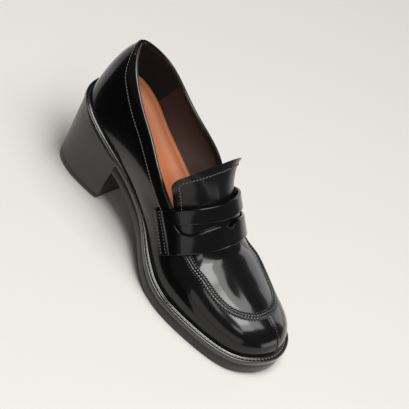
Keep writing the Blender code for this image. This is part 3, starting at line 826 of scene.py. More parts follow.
def plate(name: str, layers: Sequence[Array], finish: Finish, last: Last) -> bpy.types.Object:
    """Make a closed plate from a bottom grid, the rings above it and a top grid.

    Args:
        name: the piece's name.
        layers: grids of shoe places, from the bottom up.
        finish: its material.
        last: maps shoe places to the row frame.

    Returns:
        The plate's object.
    """
    rows, columns = layers[0].shape[:2]
    index = np.arange(rows * columns).reshape(rows, columns)
    rim = np.concatenate([index[0], index[1:-1, -1], index[-1, ::-1], index[1:-1, 0][::-1]])
    points, faces = [layers[0].reshape(-1, 3)], grid_faces(rows, columns)
    below, count = rim, rows * columns
    for layer in layers[1:]:
        top = layer is layers[-1]
        places = layer.reshape(-1, 3) if top else layer.reshape(-1, 3)[rim]
        now = count + (rim if top else np.arange(len(rim)))
        if top:
            faces += grid_faces(rows, columns, count)
        for i in range(len(rim)):
            j = (i + 1) % len(rim)
            faces.append((int(below[i]), int(below[j]), int(now[j]), int(now[i])))
        points.append(places)
        count += len(places)
        below = now
    return make_object(name, last.world(np.concatenate(points)), faces, [finish])


def strip(name: str, rings: Sequence[Array], finish: Finish, last: Last) -> bpy.types.Object:
    """Make a closed strip from the lines that run round its section.

    Args:
        name: the piece's name.
        rings: lines of shoe places, one for each point of the section.
        finish: its material.
        last: maps shoe places to the row frame.

    Returns:
        The strip's object, with an end cap at both ends.
    """
    points = np.stack([*rings, rings[0]])
    count = points.shape[1]
    faces = grid_faces(points.shape[0], count)
    starts = tuple(r * count for r in range(len(rings)))
    faces += [starts, tuple(start + count - 1 for start in reversed(starts))]
    return make_object(name, last.world(points), faces, [finish])


@dataclass(frozen=True)
class StitchRow:
    """Sizes of the stitches in a row, in metres and radians."""

    spacing: float
    length: float
    radius: float
    tilt: float = 0.0
    jitter: float = 0.05
    seed: int = 1
    thread: Finish = THREAD_WITH_PAINTED_GLINT


class StitchTree:
    """A Geometry Nodes tree that sets stitches along a path of edges."""

    SOCKETS = (
        ("Spacing", "NodeSocketFloat"), ("Length", "NodeSocketFloat"),
        ("Radius", "NodeSocketFloat"), ("Tilt", "NodeSocketFloat"),
        ("Jitter", "NodeSocketFloat"), ("Seed", "NodeSocketInt"),
        ("Thread", "NodeSocketMaterial"),
    )

    def __init__(self) -> None:
        """Build the tree once."""
        tree = bpy.data.node_groups.new("stitch_row", "GeometryNodeTree")
        tree.interface.new_socket("Path", in_out="INPUT", socket_type="NodeSocketGeometry")
        for name, kind in self.SOCKETS:
            tree.interface.new_socket(name, in_out="INPUT", socket_type=kind)
        tree.interface.new_socket("Stitches", in_out="OUTPUT", socket_type="NodeSocketGeometry")
        self.tree = tree
        given = tree.nodes.new("NodeGroupInput").outputs
        curve = add_node(tree, "GeometryNodeMeshToCurve", {"Mesh": given["Path"]})
        even = add_node(tree, "GeometryNodeResampleCurve", {
            "Curve": curve.outputs["Curve"], "Length": given["Spacing"]}, mode="LENGTH")
        turned = self._turned(given)
        placed = add_node(tree, "GeometryNodeInstanceOnPoints", {
            "Points": even.outputs["Curve"], "Instance": self._one_stitch(given),
            "Rotation": turned})
        real = add_node(tree, "GeometryNodeRealizeInstances", {
            "Geometry": placed.outputs["Instances"]})
        smooth = add_node(tree, "GeometryNodeSetShadeSmooth", {
            "Geometry": real.outputs["Geometry"]})
        dressed = add_node(tree, "GeometryNodeSetMaterial", {
            "Geometry": smooth.outputs["Geometry"], "Material": given["Thread"]})
        add_node(tree, "NodeGroupOutput", {"Stitches": dressed.outputs["Geometry"]})

    def _one_stitch(self, given: bpy.types.NodeOutputs) -> bpy.types.NodeSocket:
        """Add the drawn-out ball of one stitch.

        Args:
            given: the tree's inputs.

        Returns:
            Its geometry.
        """
        ball = add_node(self.tree, "GeometryNodeMeshUVSphere", {"Segments": 8, "Rings": 6})
        half = add_node(self.tree, "ShaderNodeMath", {0: given["Length"], 1: 0.5},
                        operation="MULTIPLY")
        size = add_node(self.tree, "ShaderNodeCombineXYZ", {
            "X": half.outputs["Value"], "Y": given["Radius"], "Z": given["Radius"]})
        stitch = add_node(self.tree, "GeometryNodeTransform", {
            "Geometry": ball.outputs["Mesh"], "Scale": size.outputs["Vector"]})
        return stitch.outputs["Geometry"]

    def _turned(self, given: bpy.types.NodeOutputs) -> bpy.types.NodeSocket:
        """Add the nodes that turn each stitch along its path, with its tilt and jitter.

        Args:
            given: the tree's inputs.

        Returns:
            Its rotation.
        """
        tree = self.tree
        facing = add_node(tree, "GeometryNodeInputNamedAttribute", {"Name": "facing"},
                          data_type="FLOAT_VECTOR")
        upright = add_node(tree, "FunctionNodeAlignRotationToVector", {
            "Vector": facing.outputs["Attribute"]}, axis="Z")
        tangent = add_node(tree, "GeometryNodeInputTangent")
        along = add_node(tree, "FunctionNodeAlignRotationToVector", {
            "Rotation": upright.outputs["Rotation"], "Vector": tangent.outputs["Tangent"]},
            axis="X", pivot_axis="Z")
        chance = add_node(tree, "FunctionNodeRandomValue", {
            2: -1.0, 3: 1.0, "Seed": given["Seed"]}, data_type="FLOAT")
        angle = add_node(tree, "ShaderNodeMath", {
            0: chance.outputs[1], 1: given["Jitter"], 2: given["Tilt"]},
            operation="MULTIPLY_ADD")
        euler = add_node(tree, "ShaderNodeCombineXYZ", {"Z": angle.outputs["Value"]})
        turn = add_node(tree, "FunctionNodeEulerToRotation", {"Euler": euler.outputs["Vector"]})
        turned = add_node(tree, "FunctionNodeRotateRotation", {
            "Rotation": along.outputs["Rotation"], "Rotate By": turn.outputs["Rotation"]},
            rotation_space="LOCAL")
        return turned.outputs["Rotation"]

    def sew(self, name: str, slot: str, paths: Sequence[tuple[Array, Array]],
            row: StitchRow) -> None:
        """Set a row of stitches along each path.

        Args:
            name: the piece's name.
            slot: the record's material slot.
            paths: places in the row frame, and the way the surface faces at each.
            row: the stitches' sizes.
        """
        places = np.concatenate([path for path, _ in paths])
        edges, start = [], 0
        for path, _ in paths:
            edges += [(start + i, start + i + 1) for i in range(len(path) - 1)]
            start += len(path)
        mesh = bpy.data.meshes.new(name)
        mesh.from_pydata([tuple(map(float, p)) for p in places], edges, [])
        facing = mesh.attributes.new("facing", "FLOAT_VECTOR", "POINT")
        facing.data.foreach_set("vector", np.concatenate([f for _, f in paths]).ravel())
        thing = linked(name, mesh)
        modifier = thing.modifiers.new("stitches", "NODES")
        modifier.node_group = self.tree
        for item in self.tree.interface.items_tree:
            if item.name == "Thread":
                modifier[item.identifier] = row.thread.build()
            elif hasattr(row, item.name.lower()):
                modifier[item.identifier] = getattr(row, item.name.lower())
        bake(thing)
        fit_piece(thing, slot)


def path_on_last(last: Last, u: Array, v: Array, height: float) -> tuple[Array, Array]:
    """Lay a stitch path at a height over the last.

    Args:
        last: the last.
        u: how far round the shoe.
        v: how far up it.
        height: how far over the last.

    Returns:
        Places in the row frame and the way the surface faces at each.
    """
    places = last.skin(u, v, np.full_like(u, height))
    return last.world(places), last.normal(u, v) * TO_ROW


def path_on_flat(last: Last, lay: Callable[[Array, Array, Array], Array], across: Array,
                 down: Array, height: float) -> tuple[Array, Array]:
    """Lay a stitch path on a piece that is cut flat.

    Args:
        last: the last.
        lay: maps the piece's flat places and heights to shoe places.
        across: distances across the piece.
        down: distances down it.
        height: how far over its inner face.

    Returns:
        Places in the row frame and the way the surface faces at each.
    """
    places = lay(across, down, np.full_like(across, height))
    facing = (lay(across, down, np.full_like(across, height + MM)) - places) * TO_ROW
    return last.world(places), facing / np.linalg.norm(facing, axis=-1, keepdims=True)


@dataclass
class BottomUnit:
    """Welt and midsole, outsole and block heel."""

    last: Last
    tree: StitchTree
    welt_stations: int = 1100
    stitched_from: float = 0.098
    wheel_depth: float = 0.00002
    channel_share: float = 0.4
    channel_depth: float = 0.00028
    heel_inset: float = 0.0008
    heel_top_length: float = 0.0612
    tip_front: float = 0.0585
    tip_back: float = 0.0030
    tip_width: float = 0.0500
    tip_bevel: float = 0.0008

    # Millimetres outwards from the feather line and up from the bed, at the forefoot.
    WELT_SECTION = (
        (-6.0, -0.05), (-0.4, -0.05), (0.2, -0.12), (0.6, -0.50), (1.0, -0.85), (2.1, -0.90),
        (2.6, -0.60), (2.85, -0.08), (3.2, 0.24), (3.7, 0.38), (4.2, 0.36), (4.6, 0.18),
        (4.88, -0.20), (5.0, -0.80), (5.0, -1.8), (5.0, -3.1), (4.98, -3.6), (4.85, -3.78),
        (-6.0, -3.78),
    )
    # Millimetres inwards from the sole's edge and up from its underside, below its top edge.
    SOLE_SECTION = ((0.8, 0.0), (0.3, 0.2), (0.0, 0.8), (0.0, 4.0))
    # Share of the way up the heel and how much it is drawn in; the groove marks the top piece.
    HEEL_SECTION = ((0.07, 0.0), (0.076, 0.006), (0.082, 0.006), (0.088, 0.0), (0.35, 0.0),
                    (0.65, 0.0), (0.985, 0.0))

    def build(self) -> None:
        """Build and dress the three pieces and the welt's stitches."""
        self.welt()
        self.outsole()
        self.heel()
        self.welt_stitches()

    def welt(self) -> None:
        """Build the welt: a stitched channel, a rounded ridge and a waxed edge."""
        u = np.linspace(0.0, 2.0, self.welt_stations, endpoint=False)
        wheel = np.where(np.arange(len(u)) % 2, 1.0, -1.0)
        share = self.last.welt_width(u) / self.last.sizes.welt_forefoot
        rings = []
        for offset, rise in self.WELT_SECTION:
            out = offset * MM * (share if offset > 0 else 1.0)
            plan = self.last.outline(u, np.broadcast_to(out, u.shape))
            depth = rise * MM * (np.clip(share, 0.45, 1.0) if rise > -1.0 else 1.0)
            if rise > 0.1:
                depth = depth + self.wheel_depth * wheel * (plan[:, 1] > self.stitched_from)
            rings.append(np.concatenate(
                [plan, (self.last.bed(plan[:, 1]) + depth)[:, None]], axis=-1))
        points = self.last.world(np.stack(rings + rings[:1]))
        faces = grid_faces(len(rings) + 1, len(u), wrap=True)
        fit_piece(make_object("welt", points, faces, [WELT_LEATHER]),
                  "welt_midsole", "welt_midsole")

    def welt_stitches(self) -> None:
        """Sew the stitches in the welt's channel, round the forefoot."""
        start = self.last.edge_station(self.stitched_from, False, 0.0)
        u = np.linspace(-start, start, 400)
        plan = self.last.outline(u, self.last.welt_width(u) * self.channel_share)
        z = self.last.bed(plan[:, 1]) - self.channel_depth
        places = self.last.world(np.concatenate([plan, z[:, None]], axis=-1))
        facing = np.tile([0.0, 0.0, 1.0], (len(u), 1))
        row = StitchRow(0.0031, 0.0022, 0.00062, seed=3, thread=WELT_THREAD_PAINTED_HIGHLIGHT)
        self.tree.sew("welt_stitches", "welt_midsole", [(places, facing)], row)

    def outsole(self) -> None:
        """Build the outsole with its rounded lower edge."""
        back = self.heel_top_length + self.last.sizes.gap
        edge = self.last.sizes.outsole_inset
        outer = closer_at_ends(0.0, self.last.edge_station(back, False, edge), 120)
        inner = closer_at_ends(2.0, self.last.edge_station(back, True, edge), 120)
        top = self.last.sizes.outsole / MM
        layers = []
        for inset, rise in (*self.SOLE_SECTION, (0.0, top - 0.3), (0.2, top)):
            plan = plan_grid(self.last.welt_edge(outer, edge + inset * MM),
                             self.last.welt_edge(inner, edge + inset * MM), 15)
            layers.append(raised(plan, lambda s, up=rise * MM: self.last.underside(s) + up))
        fit_piece(plate("outsole_leather", layers, SOLE_EDGE, self.last), "outsole", "outsole")

    def heel(self) -> None:
        """Build the block heel, curved to the seat on top and D-shaped at the floor."""
        sides = []
        for inner_side in (False, True):
            front = self.last.edge_station(self.heel_top_length, inner_side, self.heel_inset)
            sides.append(self.last.welt_edge(closer_at_ends(front, 1.0, 60), self.heel_inset))
        top = plan_grid(*sides, 21)
        back = top[..., 1].min()
        tip = top.copy()
        tip[..., 0] *= self.tip_width / np.ptp(top[..., 0])
        tip[..., 1] = self.tip_back + (top[..., 1] - back) * (
            (self.tip_front - self.tip_back) / (self.heel_top_length - back))
        middle = np.array([0.0, (self.tip_front + self.tip_back) / 2])
        top = raised(top, lambda s: self.last.underside(s) + self.last.sizes.outsole)
        tip = raised(tip, lambda s: np.full_like(s, self.tip_bevel))
        ground = tip.copy()
        ground[..., :2] = middle + (tip[..., :2] - middle) * (
            1 - 2 * self.tip_bevel / self.tip_width)
        ground[..., 2] = 0.0
        layers = [ground, tip]
        for share, pinch in self.HEEL_SECTION:
            layer = tip * (1 - share) + top * share
            centre = np.array([0.0, float(layer[..., 1].mean())])
            layer[..., :2] = centre + (layer[..., :2] - centre) * (1 - pinch)
            layers.append(layer)
        thing = plate("heel_stack", [*layers, top], HEEL_STACK, self.last)
        bevelled(thing, 0.0006, 2, 50)
        bake(thing)
        fit_piece(thing, "heel_block", "heel_block")


@dataclass
class Footbed:
    """The tan insole with its raised and rounded edge."""

    last: Last
    thickness: float = 0.0042
    cup: float = 0.0085
    rows: int = 130
    columns: int = 31
    side_power: int = 5
    end_power: int = 40

    def build(self) -> None:
        """Build and dress the insole."""
        last, sizes = self.last, self.last.sizes
        stations = closer_at_ends(0.0, 1.0, self.rows)
        across = np.abs(np.linspace(-1.0, 1.0, self.columns))[None, :]
        along = np.abs(2 * stations - 1)[:, None]
        edge = 1 - (1 - across**self.side_power) * (1 - along**self.end_power)
        layers = []
        for inset, rise, cup in ((0.0004, sizes.gap, 0.0), (0.0, 0.0012, 0.0),
                                 (0.0, self.thickness * 0.7, self.cup * 0.7),
                                 (0.0003, self.thickness, self.cup)):
            depth = np.full_like(stations, -(sizes.wall + 4 * sizes.gap + inset))
            sides = []
            for u in (stations, 2.0 - stations):
                v = (rise + cup) / last.rib_speed(u, np.zeros_like(u))
                sides.append(last.skin(u, v, depth)[:, :2])
            layer = raised(plan_grid(*sides, self.columns),
                           lambda s, rise=rise: last.bed(s) + rise)
            layer[..., 2] += cup * edge
            layers.append(layer)
        fit_piece(plate("insole_sock", layers, INSOLE_TAN, last), "insole", "insole")


class Crease(NamedTuple):
    """A soft trough or ridge: its middle, its reach, its turn and its height."""

    u: float
    v: float
    along_u: float
    along_v: float
    turn: float
    height: float


@dataclass
class UpperShell:
    """The upper: one shell with its lining, its toe seam and its back seam."""

    last: Last
    tree: StitchTree
    columns: int = 221
    low_rows: int = 31
    top_rows: int = 25
    seam_depth: float = 0.00065
    seam_width: float = 0.00065
    seam_fade: float = 0.03
    soft_reach: float = 0.009
    toe_stitch_u: float = -0.0020
    back_stitch_u: float = 0.0045

    CREASES = (
        Crease(0.225, 0.83, 0.090, 0.075, 0.7, -0.0005),
        Crease(0.150, 0.85, 0.070, 0.080, -0.5, 0.0003),
        Crease(0.560, 0.30, 0.060, 0.10, 0.5, -0.0007),
        Crease(0.640, 0.20, 0.050, 0.12, 0.3, -0.0006),
        Crease(1.440, 0.30, 0.060, 0.10, -0.5, -0.0007),
        Crease(1.360, 0.20, 0.050, 0.12, -0.3, -0.0006),
    )

    def build(self) -> None:
        """Build the shell and sew its seams."""
        self.shell()
        last, sew = self.last, self.seam_stitches
        toe_top = float(last.cut(np.array([0.0]), last.outside_apron)[0])
        back_top = float(last.cut(np.array([1.0]), last.below_collar)[0])
        sew("toe_seam_stitches", (self.toe_stitch_u,), toe_top - 0.04,
            StitchRow(0.0021, 0.0014, 0.00032, seed=5))
        sew("back_seam_stitches", (1.0 - self.back_stitch_u, 1.0 + self.back_stitch_u),
            back_top - 0.03, StitchRow(0.0026, 0.0018, 0.00030, seed=6))

    def relief(self, u: Array, v: Array) -> Array:
        """How far the leather lies over the last's surface, with seams and creases.

        Args:
            u: how far round the shoe.
            v: how far up it.

        Returns:
            Heights in metres.
        """
        height = np.zeros(np.broadcast(u, v).shape)
        speed = np.linalg.norm(self.last.point(u + PROBE, v) - self.last.point(u - PROBE, v),
                               axis=-1) / (2 * PROBE)
        near_toe = (np.mod(u + 1.0, 2.0) - 1.0) * speed
        near_back = (u - 1.0) * speed
        seam_v = float(self.last.cut(np.array([0.0]), self.last.outside_apron)[0])
        fade = 1.0 - eased((v - seam_v) / self.seam_fade)
        for distance, share in ((near_toe, fade), (near_back, np.ones_like(fade))):
            height -= self.seam_depth * share * np.exp(-((distance / self.seam_width) ** 2))
            height += 0.3 * self.seam_depth * share * np.exp(
                -((np.abs(distance) / self.seam_width - 2.2) ** 2))
        for crease in self.CREASES:
            du, dv = u - crease.u, v - crease.v
            a = (du * np.cos(crease.turn) + dv * np.sin(crease.turn)) / crease.along_u
            b = (dv * np.cos(crease.turn) - du * np.sin(crease.turn)) / crease.along_v
            height += crease.height * np.exp(-(a**2) - b**2)
        return height

    def shell(self) -> None:
        """Build the leather shell with its lining inside."""
        last = self.last
        throat = float(last.station_at(last.sizes.strap_back, last.sizes.strap_over_throat))
        rows = np.linspace(0.0, 1.0, self.low_rows)
        fore_u = finer_in_middle(0.0, throat, self.columns)[None, :]
        limit = np.interp(fore_u, (-throat, throat),
                          last.cut(np.array([-throat, throat]), last.below_collar))
        share = np.linspace(0.0, 1.0, self.top_rows)[1:, None]
        fore_v = np.concatenate([rows[:, None] * limit, limit + (1 - limit) * share])
        rear_u = finer_in_middle(1.0, 1.0 - throat, self.columns)[None, :]
        rear_v = rows[:, None] * last.cut(rear_u, last.below_collar)
        fore = last.skin(fore_u, fore_v, self.relief(fore_u, fore_v))
        rear = last.skin(rear_u, rear_v, self.relief(rear_u, rear_v))
        faces = grid_faces(*fore.shape[:2])
        faces += grid_faces(*rear.shape[:2], start=fore.shape[0] * fore.shape[1])
        points = np.concatenate([fore.reshape(-1, 3), rear.reshape(-1, 3)])
        thing = make_object("upper_leather", last.world(points), faces, [POLISHED, LINING])
        heel = max(thing.data.polygons, key=lambda face: face.center.y)
        if heel.normal.y < 0:
            thing.data.flip_normals()
        self.soften_apron(thing)
        wall = thing.modifiers.new("wall", "SOLIDIFY")
        wall.thickness = last.sizes.wall
        wall.offset = -1.0
        wall.use_even_offset = True
        wall.material_offset = 1
        wall.material_offset_rim = 0
        bevelled(thing, 0.0006, 2, 60)
        bake(thing)
        fit_piece(thing, "upper", "upper")

    def soften_apron(self, thing: bpy.types.Object) -> None:
        """Even out the front end of the ridge, where the ribs of both sides meet.

        Args:
            thing: the sheet of the upper, before it gets its wall.
        """
        tip = self.last.world(self.last.point(np.array([0.0]), np.array([1.0])))[0]
        vertices = thing.data.vertices
        points = np.array([vertex.co[:] for vertex in vertices])
        x, y = ((points[:, :2] - tip[:2]) / self.soft_reach).T
        near = np.abs(points[:, 2] - tip[2]) < self.soft_reach
        away = np.where(near, np.hypot(x, y), np.inf)
        terms = np.stack([x**i * y**j for i in range(4) for j in range(4 - i)], axis=-1)
        ring = (away > 0.8) & (away < 1.8)
        weights = np.linalg.lstsq(terms[ring], points[ring, 2], rcond=None)[0]
        share = eased((1.1 - away) / 0.5)
        height = points[:, 2] * (1 - share) + share * (terms @ weights)
        for index in np.flatnonzero(share > 0.0):
            vertices[int(index)].co.z = height[index]

    def seam_stitches(self, name: str, stations: Sequence[float], top: float,
                      row: StitchRow) -> None:
        """Sew fine stitches up the shell.

        Args:
            name: the piece's name.
            stations: the u of each row.
            top: the v where the rows end.
            row: the stitches' sizes.
        """
        v = np.linspace(0.03, top, 60)
        paths = [path_on_last(self.last, np.full_like(v, u), v, STITCH_RISE) for u in stations]
        self.tree.sew(name, "upper", paths, row)


@dataclass
class Tongue:
    """The tongue behind the strap, cut flat and laid under the throat."""

    last: Last
    tree: StitchTree
    thickness: float = 0.0018
    height: float = 0.0300
    half_width: float = 0.0430
    corner: float = 0.0130
    under_vamp: float = 0.0100
    spread: float = 0.34
    upright_lateral: float = 0.40
    upright_medial: float = 0.75
    rounding: float = 0.00055
    stitch_inset: float = 0.0066

    def build(self) -> None:
        """Build the tongue and sew round its edge."""
        self.leather()
        self.stitches()

    def half_at(self, down: Array, inset: float = 0.0) -> Array:
        """Work out how wide the tongue is.

        Args:
            down: distance from the free end.
            inset: how far inside the edge.

        Returns:
            Half the width there.
        """
        corner = self.corner - inset
        round_part = np.clip(corner - (down - inset), 0.0, corner)
        return self.half_width - self.corner + np.sqrt(corner**2 - round_part**2)

    def lay(self, across: Array, down: Array, height: Array) -> Array:
        """Lay flat places of the tongue on the last.

        Args:
            across: distance from the middle.
            down: distance from the free end.
            height: height over the tongue's inner face.

        Returns:
            Shoe places.
        """
        last = self.last
        station = last.station_at(last.sizes.strap_back, down - self.height)
        u, v = last.place(station, across)
        skin = last.skin(u, v, height - self.thickness - last.sizes.wall - last.sizes.gap)
        free = np.clip(1.0 - down / self.height, 0.0, 1.0) ** 2.2
        ridge_s = last.point(station, np.ones_like(station))[..., 1]
        upright = np.where(across > 0, self.upright_medial, self.upright_lateral)
        skin[..., 0] *= 1.0 + self.spread * free
        skin[..., 1] += free * upright * (ridge_s - skin[..., 1])
        return skin

    def leather(self) -> None:
        """Build the tongue's leather and lining."""
        length = self.height + self.last.sizes.strap_over_throat + self.under_vamp
        down = np.linspace(0.0, 1.0, 61) ** 1.5 * length
        across = self.half_at(down)[:, None] * np.linspace(-1.0, 1.0, 81)[None, :]
        flat = np.stack([across, np.broadcast_to(down[:, None], across.shape),
                         np.zeros_like(across)], axis=-1)
        thing = make_object("tongue_leather", flat, grid_faces(61, 81), [SATIN, TONGUE_LINING])
        lay_flat_piece(thing, self.thickness, self.rounding, self.lay, self.last)
        fit_piece(thing, "tongue", "tongue")

    def stitches(self) -> None:
        """Sew the row of stitches inside the tongue's edge."""
        inset = self.stitch_inset
        down = inset + np.linspace(0.0, 1.0, 40) ** 2 * (self.height + 0.001 - inset)
        half = self.half_at(down, inset)
        end = np.linspace(-half[0], half[0], 60)[1:-1]
        across = np.concatenate([-half[::-1], end, half])
        run = np.concatenate([down[::-1], np.full_like(end, inset), down])
        path = path_on_flat(self.last, self.lay, across, run, self.thickness + 0.00006)
        self.tree.sew("tongue_stitches", "tongue", [path],
                      StitchRow(0.0027, 0.0023, 0.00046, jitter=0.55, seed=7))


def lay_flat_piece(thing: bpy.types.Object, thickness: float, rounding: float,
                   lay: Callable[[Array, Array, Array], Array], last: Last) -> None:
    """Give a flat sheet its thickness and rounded edges, then lay it on the shoe.

    Args:
        thing: a sheet in the XY plane, x across and y down.
        thickness: how thick it becomes.
        rounding: how wide its edges are rounded.
        lay: maps flat places and heights to shoe places.
        last: maps shoe places to the row frame.
    """
    if thing.data.polygons[0].normal.z < 0:
        thing.data.flip_normals()
    wall = thing.modifiers.new("thickness", "SOLIDIFY")
    wall.thickness = thickness
    wall.offset = 1.0
    bevelled(thing, rounding, 3, 50)
    bake(thing)
    mesh = thing.data
    flat = np.array([vertex.co[:] for vertex in mesh.vertices])
    if len(mesh.materials) > 1:
        for face in mesh.polygons:
            face.material_index = int(face.normal.z < -0.5)
    for vertex, place in zip(mesh.vertices, last.world(lay(*flat.T))):
        vertex.co = place
    mesh.flip_normals()
    mesh.shade_smooth()


@dataclass
class PennyStrap:
    """The strap over the instep with its cut-out slot and the stitched ends."""

    last: Last
    tree: StitchTree
    half_length: float = 0.0600
    thickness: float = 0.0020
    lift: float = 0.0008
    crown: float = 0.0005
    slot_half: float = 0.0420
    end_zone: float = 0.0078
    end_step: float = 0.0022
    end_thickness: float = 0.60
    crown_fade: float = 0.006
    rounding: float = 0.00045
    stitch_insets: tuple[float, float] = (0.0020, 0.0062)
    stitch_margin: float = 0.0018

    # Share of the slot's half length, and its upper and lower edge as shares of the width.
    SLOT = (
        (0.00, 0.375, 0.610), (0.10, 0.373, 0.530), (0.24, 0.370, 0.478), (0.50, 0.358, 0.520),
        (0.76, 0.345, 0.572), (0.90, 0.338, 0.530), (0.97, 0.333, 0.430), (1.00, 0.330, 0.335),
    )

    def build(self) -> None:
        """Build the strap and sew its ends."""
        self.leather()
        self.end_stitches()

    def lay(self, across: Array, down: Array, height: Array) -> Array:
        """Lay flat places of the strap on the last, thinner at its stitched ends.

        Args:
            across: distance from the middle.
            down: distance from the back edge.
            height: height over the strap's inner face.

        Returns:
            Shoe places.
        """
        last, sizes = self.last, self.last.sizes
        station = last.station_at(sizes.strap_back, down)
        u, v = last.place(station, across)
        share = np.clip(np.abs(across) / self.half_length, 0.0, 1.0)
        from_step = self.half_length - np.abs(across) - self.end_zone
        full = self.end_thickness + (1 - self.end_thickness) * eased(from_step / self.end_step)
        crown = self.crown * (1 - (2 * down / sizes.strap_width - 1) ** 2) * (
            height / self.thickness) * eased(from_step / self.crown_fade)
        lift = self.lift * np.sqrt(np.cos(share * pi / 2).clip(0.0, 1.0))
        return last.skin(u, v, sizes.gap + lift + height * full + crown)

    def leather(self) -> None:
        """Build the strap's leather, with the slot cut out of the flat sheet."""
        width = self.last.sizes.strap_width
        share, high, low = zip(*self.SLOT)
        inside = np.concatenate([np.linspace(0.0, 0.88, 34), np.linspace(0.9, 1.0, 10)])
        outside = np.linspace(self.slot_half, self.half_length, 20)[1:]
        half = np.concatenate([inside * self.slot_half, outside])
        across = np.concatenate([-half[::-1], half[1:]])
        within = np.abs(across) / self.slot_half
        tip = width * (high[-1] + low[-1]) / 2
        above, below = (
            np.where(within < 1.0 - TINY, monotone(list(zip(share, edge)))(within) * width, tip)
            for edge in (high, low))
        t = np.linspace(0.0, 1.0, 11)[:, None]
        bands = (above * t, below + (width - below) * t)
        flat = [np.stack([np.broadcast_to(across, band.shape), band, np.zeros_like(band)],
                         axis=-1).reshape(-1, 3) for band in bands]
        faces = [face for start in (0, len(flat[0]))
                 for face in grid_faces(11, len(across), start=start)]
        thing = make_object("penny_strap_leather", np.concatenate(flat), faces, [POLISHED])
        lay_flat_piece(thing, self.thickness, self.rounding, self.lay, self.last)
        fit_piece(thing, "penny_strap", "penny_strap")

    def end_stitches(self) -> None:
        """Sew two rows of stitches down each end of the strap."""
        margin = self.stitch_margin
        down = np.linspace(margin, self.last.sizes.strap_width - margin, 40)
        paths = []
        for side in (-1.0, 1.0):
            for inset in self.stitch_insets:
                across = np.full_like(down, side * (self.half_length - inset))
                paths.append(path_on_flat(self.last, self.lay, across, down, self.thickness))
        self.tree.sew("strap_stitches", "penny_strap", paths,
                      StitchRow(0.0024, 0.0018, 0.00044, jitter=0.12, seed=9))


@dataclass
class ApronSeam:
    """The gathered double ridge round the apron, whip-stitched on both sides."""

    last: Last
    tree: StitchTree
    pitch: float = 0.0024
    half_width: float = 3.2
    draw_in: float = 0.07
    swell: float = 0.14
    ripple: float = 0.00008
    stitch_offset: float = 2.75
    under_strap: float = 0.0015

    # Millimetres across the seam, outwards, and up from the last.
    SECTION = (
        (-3.2, -0.10), (-2.9, 0.02), (-2.55, 0.30), (-2.1, 0.85), (-1.5, 1.25), (-0.8, 1.42),
        (-0.2, 1.30), (0.2, 0.92), (0.5, 0.80), (0.8, 0.95), (1.3, 1.15), (1.9, 1.05),
        (2.4, 0.65), (2.8, 0.22), (3.2, -0.10),
    )

    def build(self) -> None:
        """Build the ridge and both stitch rows."""
        self.ridge()
        self.stitches()

    def line(self, count: int) -> tuple[Array, Array, Array]:
        """Follow the seam on the last.

        Args:
            count: how many places.

        Returns:
            u and v of the places, and how far along the seam each lies.
        """
        sizes = self.last.sizes
        end = float(self.last.station_at(sizes.strap_back,
                                         sizes.strap_width - self.under_strap))
        u = np.linspace(-end, end, 6 * count)
        v = self.last.cut(u, self.last.outside_apron)
        run = np.concatenate([[0.0], np.cumsum(np.linalg.norm(
            np.diff(self.last.point(u, v), axis=0), axis=-1))])
        even = np.linspace(0.0, run[-1], count)
        u = np.interp(even, run, u)
        return u, self.last.cut(u, self.last.outside_apron), even

    def ridge(self) -> None:
        """Build the ridge, drawn in at each stitch."""
        u, v, run = self.line(560)
        speed = self.last.rib_speed(u, v)
        pull = np.cos(run / self.pitch * 2 * pi)
        rings = []
        for offset, rise in self.SECTION:
            outer = abs(offset) / self.half_width
            wide = offset * MM * (1.0 + self.draw_in * pull * outer)
            high = rise * MM * (1.0 + self.swell * pull * outer) + self.ripple * pull
            rings.append(self.last.skin(u, v - wide / speed, high))
        for offset in (3.0, -3.0):
            rings.append(self.last.skin(u, v - offset * MM / speed, np.full_like(u, -0.0006)))
        fit_piece(strip("apron_ridge", rings, SEAM_LEATHER, self.last),
                  "apron_seam", "apron_seam")

    def stitches(self) -> None:
        """Sew the whip stitches over both edges of the ridge."""
        u, v, _ = self.line(500)
        step = self.stitch_offset * MM / self.last.rib_speed(u, v)
        paths = [path_on_last(self.last, u, beside, 0.00022) for beside in (v + step, v - step)]
        self.tree.sew("apron_stitches", "apron_seam", paths,
                      StitchRow(self.pitch, 0.0019, 0.00037, tilt=radians(62), jitter=0.20,
                                seed=11))


